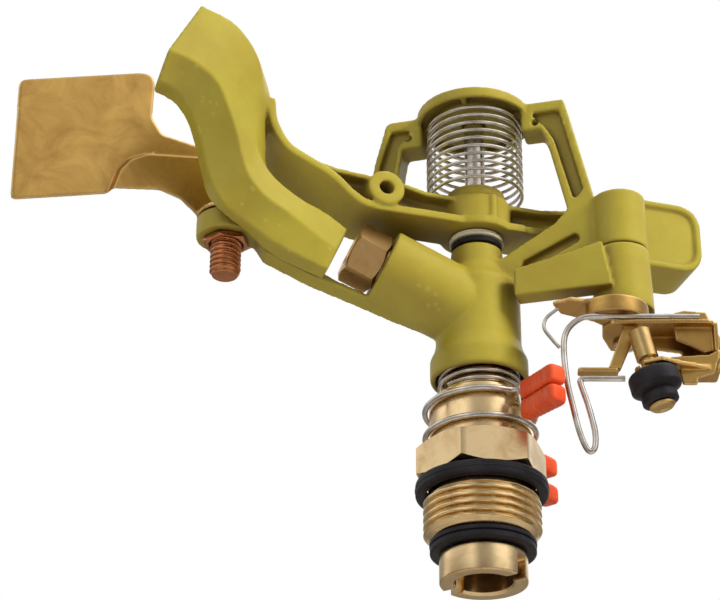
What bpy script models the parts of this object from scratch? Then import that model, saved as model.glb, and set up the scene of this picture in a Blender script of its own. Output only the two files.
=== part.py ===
# Sector sprinkler with a swinging impact arm, a part-circle trip and two stop clips.
# Frame: +Z is the axis that the head turns on, the origin is where the inlet hex meets its
# gasket, and the water leaves towards -X. The arm lies along X at rest.

import math

import bmesh
import bpy
from mathutils import Matrix, Vector

MM = 0.001
CLEAR = 0.3 * MM            # gap between pieces that touch
RUN = 0.3 * MM              # running clearance round a shaft
PAST = 0.3 * MM             # how far a cutter reaches past what it cuts
EDGE = 0.5 * MM             # chamfer on a turned edge
FINE_EDGE = 0.25 * MM       # chamfer on a thin ring

# Inlet nipple: a male pipe thread, three quarter inch
THREAD_RADIUS = 13.2 * MM
THREAD_DEPTH = 1.1 * MM
THREAD_PITCH = 1.814 * MM
THREAD_TURNS = 5
THREAD_RELIEF = 4.0 * MM
THREAD_FLAT = 0.22 * MM
THREAD_CHAMFER = 1.0 * MM
HEX_FLATS = 26.0 * MM
HEX_HEIGHT = 8.5 * MM
HEX_AZIMUTH = 23.0
HEX_ROUND = 0.35 * MM
STEM_RADIUS = 11.6 * MM
STEM_TOP = 19.5 * MM
NIPPLE_NECK_HEIGHT = 1.5 * MM
GASKET_OUTER = 14.9 * MM
GASKET_HEIGHT = 3.2 * MM
GASKET_ROUND = 0.96 * MM

# Turning tube that runs down through the nipple
TUBE_RADIUS = 8.0 * MM
TUBE_WALL = 1.6 * MM
TUBE_REACH = 2.6 * MM
COLLAR_LEDGE = 1.8 * MM
COLLAR_HEIGHT = 6.5 * MM
NOTCH_WIDTH = 3.2 * MM
NOTCH_HEIGHT = 4.5 * MM
NOTCH_AZIMUTH = -52.0
WASHER_RADIUS = 11.9 * MM
WASHER_HEIGHT = 2.9 * MM
WASHER_ROUND = 0.9 * MM

# Pressure spring between the nipple and the head
PRESSURE_WIRE = 0.5 * MM
PRESSURE_TURNS = 4
SPRING_CLEAR = 0.35 * MM
SPRING_INSIDE = 0.6 * MM       # room between the spring and the tube
SPRING_OUTSIDE = 0.45 * MM     # room between the spring and the skirt

# Head casting
SKIRT_BOTTOM = 24.8 * MM
SKIRT_HEIGHT = 5.6 * MM
SKIRT_WALL = 1.25 * MM
WAIST_WALL = 1.6 * MM
WAIST_RISE = 18.2 * MM
HEAD_NECK_RADIUS = 6.1 * MM
HEAD_NECK_HEIGHT = 5.0 * MM
JET_HEIGHT = 41.7 * MM
JET_RISE = 22.0
BARREL_RADIUS = 9.2 * MM
BARREL_LENGTH = 25.4 * MM
BARREL_BORE = 5.2 * MM

# Nozzle
NOZZLE_FLATS = 12.6 * MM
NOZZLE_HEX = 8.0 * MM
NOZZLE_SHANK = 9.0 * MM
NOZZLE_BORE = 2.4 * MM
NOZZLE_ENTRY = 4.0 * MM
NOZZLE_CHAMFER = 0.7 * MM

# Bar that carries the deflector
BAR_WIDTH = 5.6 * MM
BAR_DEPTH = 2.5 * MM
EYE_REACH = 59.45 * MM
EYE_TURN = -6.18               # from the arm's own plane, in degrees
EYE_RADIUS = 7.0 * MM
EYE_RISE = 14.3 * MM           # from the jet's start to the eye's lower face
EYE_HEIGHT = 5.2 * MM

# Bridge over the arm, turned from the arm's own plane
BRIDGE_TURN = -32.0
BRIDGE_THICK = 7.0 * MM
BRIDGE_RISE = 34.6 * MM        # from the hub's lower face
CAP_RADIUS = 13.8 * MM
CAP_WALL = 1.1 * MM
CAP_HEIGHT = 2.8 * MM
CAP_FLOOR = 0.9 * MM
CAP_BOSS_RADIUS = 9.8 * MM
CAP_RIB_DEPTH = 1.7 * MM
CAP_RIB_WIDTH = 1.4 * MM
POCKET_DEPTH = 2.2 * MM

# Arm pivot
PIN_RADIUS = 2.4 * MM
PIN_FOOT = 51.5 * MM
PIN_HEAD_RADIUS = 4.2 * MM
PIN_HEAD_HEIGHT = 1.8 * MM
PIN_HEAD_CROWN = 1.4 * MM
THRUST_WASHER_HEIGHT = 1.25 * MM
HUB_RADIUS = 8.2 * MM
HUB_STEP = 8.6 * MM
HUB_HEIGHT = 11.6 * MM
HUB_NECK_RADIUS = 7.0 * MM
BUSH_WALL = 1.5 * MM
ARM_CLEAR = 2.234 * MM         # from the nozzle's highest edge to the hub's lower face

# Arm spring
ARM_WIRE = 0.5 * MM
ARM_COIL_MEAN = 11.2 * MM
ARM_COIL_TURNS = 10
ARM_COIL_LIFT = 1.2 * MM
ARM_HOOK_AZIMUTH = 27.0

# Arm beam and balance weight
FLANGE_THICK = 2.0 * MM
FLANGE_LIFT = 0.2 * MM
FLANGE_NEAR = -7.0 * MM
FLANGE_FAR = 5.0 * MM
WING_FAR = 9.5 * MM             # far side of the flange where it rises to the spoon
WING_LIFT = 0.1 * MM
WING_THICK = 1.8 * MM
BULGE = 0.6 * MM
WEB_HALF = 1.5 * MM
RIM_DEPTH = 6.8 * MM
RIM_THICK = 1.2 * MM
LUG_X = -24.6 * MM
LUG_RISE = 6.0 * MM
LUG_RADIUS = 4.4 * MM
LUG_HOLE = 1.7 * MM
WEIGHT_IN = 38.0 * MM
WEIGHT_LENGTH = 16.6 * MM
WEIGHT_DROP = 4.4 * MM
WEIGHT_HEIGHT = 18.2 * MM
WEIGHT_NEAR = -8.5 * MM
WEIGHT_FAR = 4.5 * MM
WEIGHT_CORNER = 6.5 * MM
WEIGHT_RIM = 1.6 * MM
WEIGHT_DISH = 0.7 * MM

# Deflector plate
SHEET = 1.0 * MM
PLATE_Y = 3.4 * MM             # from the eye's own axis
PLATE_REACH = 50.2 * MM       # from the eye to the plate's far edge
PLATE_HIGH = 40.0 * MM        # from the eye's upper face
FOOT_REACH = 27.4 * MM
FOOT_HIGH = 18.0 * MM
FOOT_STEP = 2.6 * MM
SCREW_RADIUS = 3.6 * MM
SCREW_TAIL = 8.0 * MM
SCREW_PITCH = 1.25 * MM
SCREW_THREAD_DEPTH = 0.5 * MM
NUT_FLATS = 9.6 * MM
NUT_HEIGHT = 1.4 * MM

# Trip: lever above, feeler below, on one pin; its sheet parts stand turned from the arm's plane
TRIP_TURN = -17.0
TRIP_REACH = 34.0 * MM
TRIP_PIN_RADIUS = 1.6 * MM
TRIP_PIN_HEAD = 2.9 * MM
TRIP_PIN_HEAD_HEIGHT = 1.2 * MM
BOSS_RADIUS = 6.2 * MM
BOSS_BOTTOM = 54.2 * MM
BOSS_TOP = 68.3 * MM
SLEEVE_TOP_RADIUS = 6.5 * MM
SLEEVE_LOW_RADIUS = 7.0 * MM
SLEEVE_BOTTOM = 38.0 * MM
LEVER_LOW = 3.6 * MM
LEVER_HIGH = 10.6 * MM
LEVER_NEAR = 4.1 * MM
LEVER_THICK = 5.0 * MM
LEVER_REACH = 23.6 * MM       # from the trip's pin to the tooth's end
TRIP_PLATE_REACH = 17.0 * MM
SKIRT_PLATE_RADIUS = 8.2 * MM
SKIRT_PLATE_DROP = 3.7 * MM
SKIRT_PLATE_AWAY = 3.0 * MM   # from the trip's pin, both to the left and to the front
FEELER_TOP = 32.0 * MM
FEELER_DROP = 11.5 * MM
BRACKET_REACH = 20.0 * MM     # from the trip's pin to the bracket's end
BRACKET_NEAR = 10.0 * MM      # from the trip's pin to the bracket's near edge
TRIP_WIRE = 0.65 * MM
LOOP_DROP = 17.1 * MM         # from the near clip's height to the loop's foot
LOOP_ACROSS = 9.0 * MM        # from the trip's pin
TOGGLE_WIRE = 0.4 * MM
POST_RADIUS = 2.5 * MM
POST_SHANK = 1.8 * MM
RIVET_RADIUS = 2.9 * MM
POST_RIVET = 0.9 * MM
POST_ALONG = 3.5 * MM
POST_ACROSS = -10.4 * MM
POST_LEAN = -0.23             # sideways for each millimetre up
BUMPER_RADIUS = 5.7 * MM
BUMPER_WAIST = 3.6 * MM
BUMPER_HEIGHT = 7.6 * MM
BUMPER_DROP = 2.4 * MM        # below the bracket's floor, along the leaning post

# Stop clips
CLIP_WIRE = 0.65 * MM
CLIP_PITCH = 1.9 * MM
NEAR_CLIP_HEIGHT = 17.0 * MM
FAR_CLIP_HEIGHT = 11.0 * MM
NEAR_CLIP_AZIMUTH = -72.0
FAR_CLIP_AZIMUTH = 34.0
NEAR_TAB_SAG = 3.0 * MM        # how far the tabs hang below their clip
FAR_TAB_SAG = 1.7 * MM
FAR_TAB_SPREAD = 3.5 * MM
TAB_INNER = 16.2 * MM
TAB_LENGTH = 11.8 * MM
TAB_HEIGHT = 4.5 * MM
TAB_ROOT_WIDTH = 3.4 * MM
TAB_TIP_WIDTH = 4.6 * MM
TAB_SOCKET = 4.0 * MM

# Worked out from the sizes above
THREAD_ROOT = THREAD_RADIUS - THREAD_DEPTH
THREAD_TOP = -THREAD_RELIEF
NIPPLE_TOP = STEM_TOP + NIPPLE_NECK_HEIGHT
INLET_END = THREAD_TOP - THREAD_TURNS * THREAD_PITCH - THREAD_CHAMFER
WASHER_TOP = INLET_END - CLEAR
COLLAR_TOP = WASHER_TOP - WASHER_HEIGHT - CLEAR
COLLAR_RADIUS = TUBE_RADIUS + COLLAR_LEDGE
TUBE_BORE = TUBE_RADIUS - TUBE_WALL
TUBE_BOTTOM = COLLAR_TOP - COLLAR_HEIGHT
PRESSURE_MEAN = TUBE_RADIUS + SPRING_INSIDE + PRESSURE_WIRE
NIPPLE_NECK_RADIUS = PRESSURE_MEAN + PRESSURE_WIRE
SKIRT_BORE = PRESSURE_MEAN + PRESSURE_WIRE + SPRING_OUTSIDE
SKIRT_RADIUS = SKIRT_BORE + SKIRT_WALL
WAIST_RADIUS = TUBE_RADIUS + RUN + WAIST_WALL
SKIRT_TOP = SKIRT_BOTTOM + SKIRT_HEIGHT
TUBE_TOP = SKIRT_TOP + TUBE_REACH
JET_END = BARREL_LENGTH + CLEAR + NOZZLE_HEX
NOZZLE_CREST = (JET_HEIGHT + JET_END * math.sin(math.radians(JET_RISE))
                + NOZZLE_FLATS / 2.0 * math.cos(math.radians(JET_RISE)))
HUB_BOTTOM = NOZZLE_CREST + ARM_CLEAR
HEAD_TOP = HUB_BOTTOM - 2.0 * THRUST_WASHER_HEIGHT - 3.0 * CLEAR
BRIDGE_TOP = HUB_BOTTOM + BRIDGE_RISE
CAP_LIP = BRIDGE_TOP - CAP_HEIGHT
CAP_WEB = BRIDGE_TOP - CAP_FLOOR
HUB_SHOULDER = HUB_BOTTOM + HUB_STEP
HUB_TOP = HUB_BOTTOM + HUB_HEIGHT
FLANGE_LOW = HUB_BOTTOM + FLANGE_LIFT
ARM_COIL_BOTTOM = HUB_SHOULDER + ARM_COIL_LIFT
ARM_COIL_TOP = CAP_WEB - CAP_RIB_DEPTH - CLEAR - ARM_WIRE
LUG_Z = HUB_BOTTOM + LUG_RISE
WEIGHT_OUT = WEIGHT_IN + WEIGHT_LENGTH
WEIGHT_LOW = HUB_BOTTOM - WEIGHT_DROP
WEIGHT_HIGH = WEIGHT_LOW + WEIGHT_HEIGHT
EYE_BOTTOM = JET_HEIGHT + EYE_RISE
EYE_TOP = EYE_BOTTOM + EYE_HEIGHT
NUT_TOP = EYE_BOTTOM - CLEAR
SCREW_BOTTOM = NUT_TOP - NUT_HEIGHT - SCREW_TAIL
FEELER_LOW = FEELER_TOP - FEELER_DROP
CLIP_MEAN = STEM_RADIUS + CLEAR + CLIP_WIRE
TAB_OUTER = TAB_INNER + TAB_LENGTH
NEAR_TAB_SPREAD = (TAB_HEIGHT + CLEAR) / 2.0
ORIGIN = Vector((0.0, 0.0, 0.0))
UP = Vector((0.0, 0.0, 1.0))
JET = Vector((-math.cos(math.radians(JET_RISE)), 0.0, math.sin(math.radians(JET_RISE))))
ALONG = Vector((math.cos(math.radians(BRIDGE_TURN)), math.sin(math.radians(BRIDGE_TURN)), 0.0))
ACROSS = Vector((-ALONG.y, ALONG.x, 0.0))
BAR_LINE = Vector((math.cos(math.radians(EYE_TURN)), math.sin(math.radians(EYE_TURN)), 0.0))
EYE = BAR_LINE * -EYE_REACH
TRIP_AXIS = ALONG * TRIP_REACH
TRIP_U = Vector((math.cos(math.radians(TRIP_TURN)), math.sin(math.radians(TRIP_TURN)), 0.0))
TRIP_V = Vector((-TRIP_U.y, TRIP_U.x, 0.0))
POST = TRIP_AXIS + TRIP_U * POST_ALONG + TRIP_V * POST_ACROSS + UP * FEELER_LOW
POST_LINE = (TRIP_U * POST_LEAN + UP).normalized()
JET_START = UP * JET_HEIGHT


def clear_scene():
    for item in list(bpy.data.objects):
        bpy.data.objects.remove(item, do_unlink=True)


def new_collection(name):
    group = bpy.data.collections.new(name)
    bpy.context.scene.collection.children.link(group)
    return group


# The exact solver leaves open edges where these castings' many shapes meet
CASTINGS = ("impact_arm", "head_casting", "deflector", "trip_bracket")

clear_scene()
PARTS = new_collection("sector_sprinkler")
CUTTERS = new_collection("sector_sprinkler_cutters")


def new_material(name, colour, roughness, metallic):
    finish = bpy.data.materials.new(name)
    finish.use_nodes = True
    shader = finish.node_tree.nodes["Principled BSDF"]
    shader.inputs["Base Color"].default_value = (*colour, 1.0)
    shader.inputs["Roughness"].default_value = roughness
    shader.inputs["Metallic"].default_value = metallic
    finish.diffuse_color = (*colour, 1.0)
    return finish


def mesh_object(name, work):
    mesh = bpy.data.meshes.new(name)
    work.to_mesh(mesh)
    work.free()
    return link(name, mesh)


def link(name, data):
    item = bpy.data.objects.new(name, data)
    PARTS.objects.link(item)
    return item


def finish_part(item, finish, pivot):
    """Gives a sub-part its material and hangs it on the empty of its joint."""
    item.data.materials.clear()
    item.data.materials.append(finish)
    item.parent = pivot
    item.matrix_parent_inverse = Matrix.Translation(-pivot.location)
    if item.type == "MESH":
        item.data.shade_smooth()
        item.data.set_sharp_from_angle(angle=math.radians(35.0))
    return item


def new_pivot(name, place):
    pivot = bpy.data.objects.new(name, None)
    pivot.location = place
    pivot.empty_display_size = 10.0 * MM
    PARTS.objects.link(pivot)
    return pivot


def turned(name, profile, steps=36, ring=False):
    """Solid of revolution about Z; the profile runs down its outer side."""
    work = bmesh.new()
    points = [work.verts.new((radius, 0.0, height)) for radius, height in profile]
    for first, second in zip(points, points[1:]):
        work.edges.new((first, second))
    if ring:
        work.edges.new((points[-1], points[0]))
    item = mesh_object(name, work)
    screw = item.modifiers.new("turn", "SCREW")
    screw.axis = "Z"
    screw.angle = math.tau
    screw.steps = steps
    screw.render_steps = steps
    screw.use_merge_vertices = True
    screw.merge_threshold = 0.00001
    screw.use_normal_calculate = False
    return item


def frame_matrix(first, second, place):
    """Places local X along first, local Y along second and the origin at place."""
    first = Vector(first).normalized()
    second = Vector(second).normalized()
    third = first.cross(second)
    turn = Matrix((first, second, third)).transposed().to_4x4()
    return Matrix.Translation(place) @ turn


def side_frame(place=(0.0, 0.0, 0.0)):
    """Outlines drawn in X and Z, with thickness along Y."""
    return frame_matrix((1, 0, 0), (0, 0, 1), place)


def rod(name, radius, start, end, sides=20, end_radius=None):
    """Cylinder or cone between two points."""
    start = Vector(start)
    end = Vector(end)
    run = end - start
    work = bmesh.new()
    bmesh.ops.create_cone(work, cap_ends=True, segments=sides, radius1=radius,
                          radius2=radius if end_radius is None else end_radius, depth=run.length)
    turn = run.to_track_quat("Z", "Y").to_matrix().to_4x4()
    bmesh.ops.transform(work, matrix=Matrix.Translation((start + end) / 2.0) @ turn, verts=work.verts)
    return mesh_object(name, work)


def block(name, low, high, place=None):
    """Box between two corners, in a frame of its own when one is given."""
    low = Vector(low)
    high = Vector(high)
    work = bmesh.new()
    bmesh.ops.create_cube(work, size=1.0)
    bmesh.ops.scale(work, vec=high - low, verts=work.verts)
    bmesh.ops.translate(work, vec=(low + high) / 2.0, verts=work.verts)
    if place is not None:
        bmesh.ops.transform(work, matrix=place, verts=work.verts)
    return mesh_object(name, work)


def rounded(points, radii, steps=5):
    """Outline whose corners are arcs; a radius of 0 leaves a corner sharp."""
    outline = []
    count = len(points)
    for index, point in enumerate(points):
        corner = Vector(point)
        radius = radii[index] if isinstance(radii, (list, tuple)) else radii
        before = Vector(points[index - 1]) - corner
        after = Vector(points[(index + 1) % count]) - corner
        if radius <= 0.0:
            outline.append(tuple(corner))
            continue
        half = before.angle(after) / 2.0
        reach = min(radius / math.tan(half), before.length * 0.49, after.length * 0.49)
        first = corner + before.normalized() * reach
        last = corner + after.normalized() * reach
        for step in range(steps + 1):
            share = step / steps
            pull = first.lerp(corner, share).lerp(corner.lerp(last, share), share)
            outline.append(tuple(pull))
    return outline


def prism(name, outlines, thickness, place):
    """Flat outline with thickness, from a filled 2D curve made a mesh."""
    curve = bpy.data.curves.new(name, "CURVE")
    curve.dimensions = "2D"
    curve.fill_mode = "BOTH"
    curve.extrude = thickness / 2.0
    for outline in outlines:
        spline = curve.splines.new("POLY")
        spline.points.add(len(outline) - 1)
        for point, (first, second) in zip(spline.points, outline):
            point.co = (first, second, 0.0, 1.0)
        spline.use_cyclic_u = True
    drawn = link(name + "_outline", curve)
    drawn.matrix_world = place
    return curve_to_mesh(name, drawn)


def curve_to_mesh(name, drawn):
    bpy.context.view_layer.update()
    seen = drawn.evaluated_get(bpy.context.evaluated_depsgraph_get())
    mesh = bpy.data.meshes.new_from_object(seen)
    place = drawn.matrix_world.copy()
    bpy.data.objects.remove(drawn, do_unlink=True)
    work = bmesh.new()
    work.from_mesh(mesh)
    bmesh.ops.remove_doubles(work, verts=work.verts, dist=0.00001)
    bmesh.ops.transform(work, matrix=place, verts=work.verts)
    bmesh.ops.recalc_face_normals(work, faces=work.faces)
    work.to_mesh(mesh)
    work.free()
    mesh.name = name
    return link(name, mesh)


def wire(name, points, radius, resolution=1):
    """Round wire along points, with filled ends."""
    curve = bpy.data.curves.new(name, "CURVE")
    curve.dimensions = "3D"
    curve.bevel_depth = radius
    curve.bevel_resolution = resolution
    curve.use_fill_caps = True
    spline = curve.splines.new("POLY")
    spline.points.add(len(points) - 1)
    for point, place in zip(spline.points, points):
        point.co = (*place, 1.0)
    return link(name, curve)


def loft(name, rings):
    """Closed skin through rings of equal counts, with flat ends."""
    work = bmesh.new()
    rows = [[work.verts.new(point) for point in ring] for ring in rings]
    count = len(rings[0])
    for upper, lower in zip(rows, rows[1:]):
        for index in range(count):
            following = (index + 1) % count
            work.faces.new((upper[index], upper[following], lower[following], lower[index]))
    work.faces.new(rows[0])
    work.faces.new(list(reversed(rows[-1])))
    bmesh.ops.recalc_face_normals(work, faces=work.faces)
    return mesh_object(name, work)


def combine(target, tool, operation):
    """Boolean with a tool that stays behind as a hidden construction shape."""
    modifier = target.modifiers.new(tool.name, "BOOLEAN")
    modifier.operation = operation
    modifier.solver = "MANIFOLD" if target.name in CASTINGS else "EXACT"
    modifier.object = tool
    PARTS.objects.unlink(tool)
    CUTTERS.objects.link(tool)
    tool.hide_render = True
    tool.display_type = "WIRE"
    return target


def add(target, *tools):
    for tool in tools:
        combine(target, tool, "UNION")
    return target


def cut(target, *tools):
    for tool in tools:
        combine(target, tool, "DIFFERENCE")
    return target


def keep_common(target, tool):
    return combine(target, tool, "INTERSECT")


def smooth_path(points, per_span=4):
    """Points on a smooth curve through the given ones."""
    points = [Vector(point) for point in points]
    padded = [points[0] * 2.0 - points[1]] + points + [points[-1] * 2.0 - points[-2]]
    path = []
    for index in range(1, len(padded) - 2):
        before, start, end, after = padded[index - 1:index + 3]
        for step in range(per_span):
            t = step / per_span
            path.append(0.5 * ((2.0 * start) + (end - before) * t
                               + (2.0 * before - 5.0 * start + 4.0 * end - after) * t * t
                               + (3.0 * start - before - 3.0 * end + after) * t * t * t))
    path.append(points[-1])
    return path


def helix(mean, low, high, turns, start=0.0, per_turn=10):
    """Points along a coil from its lower end to its upper end."""
    count = int(round(turns * per_turn))
    path = []
    for step in range(count + 1):
        share = step / count
        angle = math.radians(start) + math.tau * turns * share
        path.append(Vector((mean * math.cos(angle), mean * math.sin(angle), low + (high - low) * share)))
    return path


def least_self_gap(points, radius, skip):
    """Smallest clear distance between stretches of one wire that lie apart along it."""
    least = None
    for index, first in enumerate(points):
        for second in points[index + skip:]:
            gap = (first - second).length - 2.0 * radius
            least = gap if least is None else min(least, gap)
    return least


def in_mm(points):
    """Outline points that are written in millimetres."""
    return [(first * MM, second * MM) for first, second in points]


def soft(points, radius, steps=3):
    """Outline with rounded corners, both written in millimetres."""
    radii = [value * MM for value in radius] if isinstance(radius, list) else radius * MM
    return rounded(in_mm(points), radii, steps)


def pillar(name, radius, low, high, place=ORIGIN, sides=20, top_radius=None):
    """Upright round bar between two heights, at a place in plan."""
    return rod(name, radius, place + UP * low, place + UP * high, sides, top_radius)


def hex_radius(flats):
    return flats / 2.0 / math.cos(math.radians(30.0))


def flat_frame(height, place=ORIGIN):
    """Outlines drawn along and across the bridge, at a height."""
    return frame_matrix(ALONG, ACROSS, place + UP * height)


def bridge_frame(across, place=ORIGIN):
    """Outlines drawn along the bridge and in Z, at a distance across it."""
    return frame_matrix(ALONG, UP, place + ACROSS * across)


def by_trip(first, second, height):
    """Point beside the trip's pin, along and across the trip's sheet parts, in millimetres."""
    return TRIP_AXIS + (TRIP_U * first + TRIP_V * second + UP * height) * MM


def trip_plan(height):
    """Outlines drawn flat from the trip's pin."""
    return frame_matrix(TRIP_U, TRIP_V, TRIP_AXIS + UP * height)


def trip_side(second):
    """Outlines drawn upright along the trip's sheet parts, at a distance across them."""
    return frame_matrix(TRIP_U, UP, TRIP_AXIS + TRIP_V * second * MM)


def post_point(distance):
    """Point on the leaning post's axis, from the bracket's floor."""
    return POST + POST_LINE * distance


def post_frame():
    return frame_matrix(TRIP_V.cross(POST_LINE), TRIP_V, POST)


brass = new_material("brass", (0.73, 0.52, 0.24), 0.32, 1.0)
sheet_brass = new_material("sheet_brass", (0.62, 0.42, 0.13), 0.38, 1.0)
copper = new_material("copper", (0.62, 0.28, 0.12), 0.35, 1.0)
steel = new_material("steel", (0.62, 0.61, 0.58), 0.25, 1.0)
paint = new_material("paint", (0.49, 0.42, 0.075), 0.42, 0.0)
rubber = new_material("rubber", (0.018, 0.016, 0.022), 0.5, 0.0)
pale_plastic = new_material("pale_plastic", (0.66, 0.62, 0.48), 0.45, 0.0)
red_plastic = new_material("red_plastic", (0.80, 0.045, 0.012), 0.38, 0.0)

base_pivot = new_pivot("base_axis", ORIGIN)
turret_pivot = new_pivot("turret_axis", ORIGIN)
arm_pivot = new_pivot("arm_axis", UP * HUB_BOTTOM)
trip_pivot = new_pivot("trip_axis", TRIP_AXIS)
deflector_pivot = new_pivot("deflector_axis", EYE + UP * EYE_TOP)
near_clip_pivot = new_pivot("near_clip_axis", UP * NEAR_CLIP_HEIGHT)
far_clip_pivot = new_pivot("far_clip_axis", UP * FAR_CLIP_HEIGHT)


def build_nipple():
    relief = THREAD_ROOT - 0.1 * MM
    waist = HEX_HEIGHT / 2.0
    bore = TUBE_RADIUS + RUN
    profile = [(NIPPLE_NECK_RADIUS - EDGE, NIPPLE_TOP), (NIPPLE_NECK_RADIUS, NIPPLE_TOP - EDGE),
               (NIPPLE_NECK_RADIUS, STEM_TOP), (STEM_RADIUS - EDGE, STEM_TOP),
               (STEM_RADIUS, STEM_TOP - EDGE), (STEM_RADIUS, waist), (relief, waist), (relief, THREAD_TOP)]
    for turn in range(THREAD_TURNS):
        top = THREAD_TOP - turn * THREAD_PITCH
        crest = top - THREAD_PITCH / 2.0
        profile += [(THREAD_ROOT, top - THREAD_FLAT), (THREAD_RADIUS, crest + THREAD_FLAT),
                    (THREAD_RADIUS, crest - THREAD_FLAT), (THREAD_ROOT, top - THREAD_PITCH + THREAD_FLAT)]
    profile += [(THREAD_ROOT, INLET_END + EDGE), (THREAD_ROOT - EDGE, INLET_END),
                (bore, INLET_END), (bore, NIPPLE_TOP)]
    nipple = turned("inlet_nipple", profile, ring=True)

    corner = hex_radius(HEX_FLATS)
    across = HEX_FLATS / 2.0 - HEX_ROUND
    slope = (corner - across) * 0.55
    blank = pillar("inlet_hex", corner, 0.0, HEX_HEIGHT, sides=6)
    blank.data.transform(Matrix.Rotation(math.radians(HEX_AZIMUTH), 4, "Z"))
    round_limit = turned("inlet_hex_chamfer", [
        (0.0, HEX_HEIGHT + PAST), (across, HEX_HEIGHT + PAST), (across, HEX_HEIGHT),
        (corner, HEX_HEIGHT - slope), (corner, slope), (across, 0.0), (across, -PAST), (0.0, -PAST)])
    keep_common(blank, round_limit)
    inside = (STEM_RADIUS + bore) / 2.0
    cut(blank, pillar("inlet_hex_bore", inside, -PAST, HEX_HEIGHT + PAST, sides=36))
    add(nipple, blank)
    finish_part(nipple, brass, base_pivot)

    top = -CLEAR
    low = top - GASKET_HEIGHT
    inner = THREAD_ROOT + 2.0 * CLEAR
    gasket = turned("inlet_gasket", [
        (inner, top), (GASKET_OUTER - GASKET_ROUND, top), (GASKET_OUTER, top - GASKET_ROUND),
        (GASKET_OUTER, low + GASKET_ROUND), (GASKET_OUTER - GASKET_ROUND, low), (inner, low)], ring=True)
    finish_part(gasket, rubber, base_pivot)


def build_turning_tube():
    tube = turned("turning_tube", [
        (TUBE_RADIUS - EDGE, TUBE_TOP), (TUBE_RADIUS, TUBE_TOP - EDGE), (TUBE_RADIUS, COLLAR_TOP),
        (COLLAR_RADIUS - EDGE, COLLAR_TOP), (COLLAR_RADIUS, COLLAR_TOP - EDGE),
        (COLLAR_RADIUS, TUBE_BOTTOM + EDGE), (COLLAR_RADIUS - EDGE, TUBE_BOTTOM),
        (TUBE_BORE, TUBE_BOTTOM), (TUBE_BORE, TUBE_TOP)], ring=True)
    half = NOTCH_WIDTH / 2.0
    reach = COLLAR_RADIUS + PAST
    cut(tube, block("turning_tube_slot", (-reach, -half, TUBE_BOTTOM - PAST),
                    (reach, half, TUBE_BOTTOM + NOTCH_HEIGHT),
                    Matrix.Rotation(math.radians(NOTCH_AZIMUTH), 4, "Z")))
    finish_part(tube, brass, turret_pivot)

    inner = TUBE_RADIUS + RUN
    low = WASHER_TOP - WASHER_HEIGHT
    washer = turned("seal_washer", [
        (inner, WASHER_TOP), (WASHER_RADIUS - EDGE, WASHER_TOP), (WASHER_RADIUS, WASHER_TOP - EDGE),
        (WASHER_RADIUS, low + WASHER_ROUND), (WASHER_RADIUS - WASHER_ROUND, low), (inner, low)], ring=True)
    finish_part(washer, rubber, turret_pivot)

    low = NIPPLE_TOP + PRESSURE_WIRE + SPRING_CLEAR
    high = SKIRT_TOP - PRESSURE_WIRE - SPRING_CLEAR
    path = helix(PRESSURE_MEAN, low, high, PRESSURE_TURNS, start=200.0)
    print("pressure spring, least gap to itself in mm:",
          round(least_self_gap(path, PRESSURE_WIRE, 6) / MM, 2))
    finish_part(wire("pressure_spring", path, PRESSURE_WIRE), steel, turret_pivot)


def jet_point(distance):
    """Point at a distance along the jet."""
    return JET_START + JET * distance


def bridge_outline():
    """Outer edge of the bridge and of the window that the spring stands in, in millimetres."""
    foot = HEAD_TOP / MM
    top = BRIDGE_TOP / MM
    under = CAP_LIP / MM + 0.9
    cap = CAP_RADIUS / MM
    reach = TRIP_REACH / MM - BOSS_RADIUS / MM
    low = BOSS_BOTTOM / MM
    high = BOSS_TOP / MM
    outer = [(-8.0, foot - 16.0), (-20.5, foot - 3.5), (-cap - 11.6, foot + 5.0), (-cap - 11.4, top - 21.0),
             (-cap - 10.3, top - 12.0), (-cap - 7.2, top - 0.6), (1.0 - cap, top - 0.4),
             (cap - 1.0, top - 0.4),
             (cap + 8.9, top - 0.4), (reach + 0.8, high + 1.3), (reach + 1.6, low + 0.8),
             (reach - 1.8, low + 0.4), (7.0, foot - 13.5)]
    inner = [(-6.5, foot - 5.0), (-15.0, foot + 2.0), (-cap - 5.5, foot + 8.0), (-cap - 4.9, top - 20.0),
             (-cap - 3.9, top - 12.5), (-cap - 3.2, top - 8.3), (1.7 - cap, top - 8.3), (1.7 - cap, under),
             (cap - 1.7, under), (cap - 1.7, top - 8.1), (cap + 3.2, top - 8.1), (cap + 4.6, top - 12.0),
             (reach - 5.3, high - 2.3), (reach - 8.3, foot + 3.6), (7.0, foot - 3.8)]
    return soft(outer, 1.2), soft(inner, 1.0)


def leg_pockets():
    """Recesses in the near face of the bridge's legs and of the rib below the trip's boss."""
    foot = HEAD_TOP / MM
    top = BRIDGE_TOP / MM
    cap = CAP_RADIUS / MM
    reach = TRIP_REACH / MM - BOSS_RADIUS / MM
    outlines = {
        "head_front_pocket": [(-cap - 9.2, foot + 8.0), (-cap - 6.6, foot + 8.0), (-cap - 6.0, top - 19.0),
                              (-cap - 2.6, top - 4.0), (-cap - 6.2, top - 2.4), (-cap - 9.0, top - 13.0)],
        "head_rear_pocket": [(cap + 3.2, top - 2.4), (cap + 7.8, top - 2.4), (reach - 1.2, foot + 12.0),
                             (reach - 3.6, foot + 9.0), (cap + 6.2, top - 11.4)],
        "head_rib_pocket": [(reach - 3.3, foot + 0.4), (11.5, foot - 5.7), (10.5, foot - 9.2),
                            (reach - 2.6, foot - 1.8)],
    }
    near = bridge_frame(-BRIDGE_THICK / 2.0)
    return [prism(name, [soft(points, 0.6, 2)], POCKET_DEPTH * 2.0, near)
            for name, points in outlines.items()]


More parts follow.
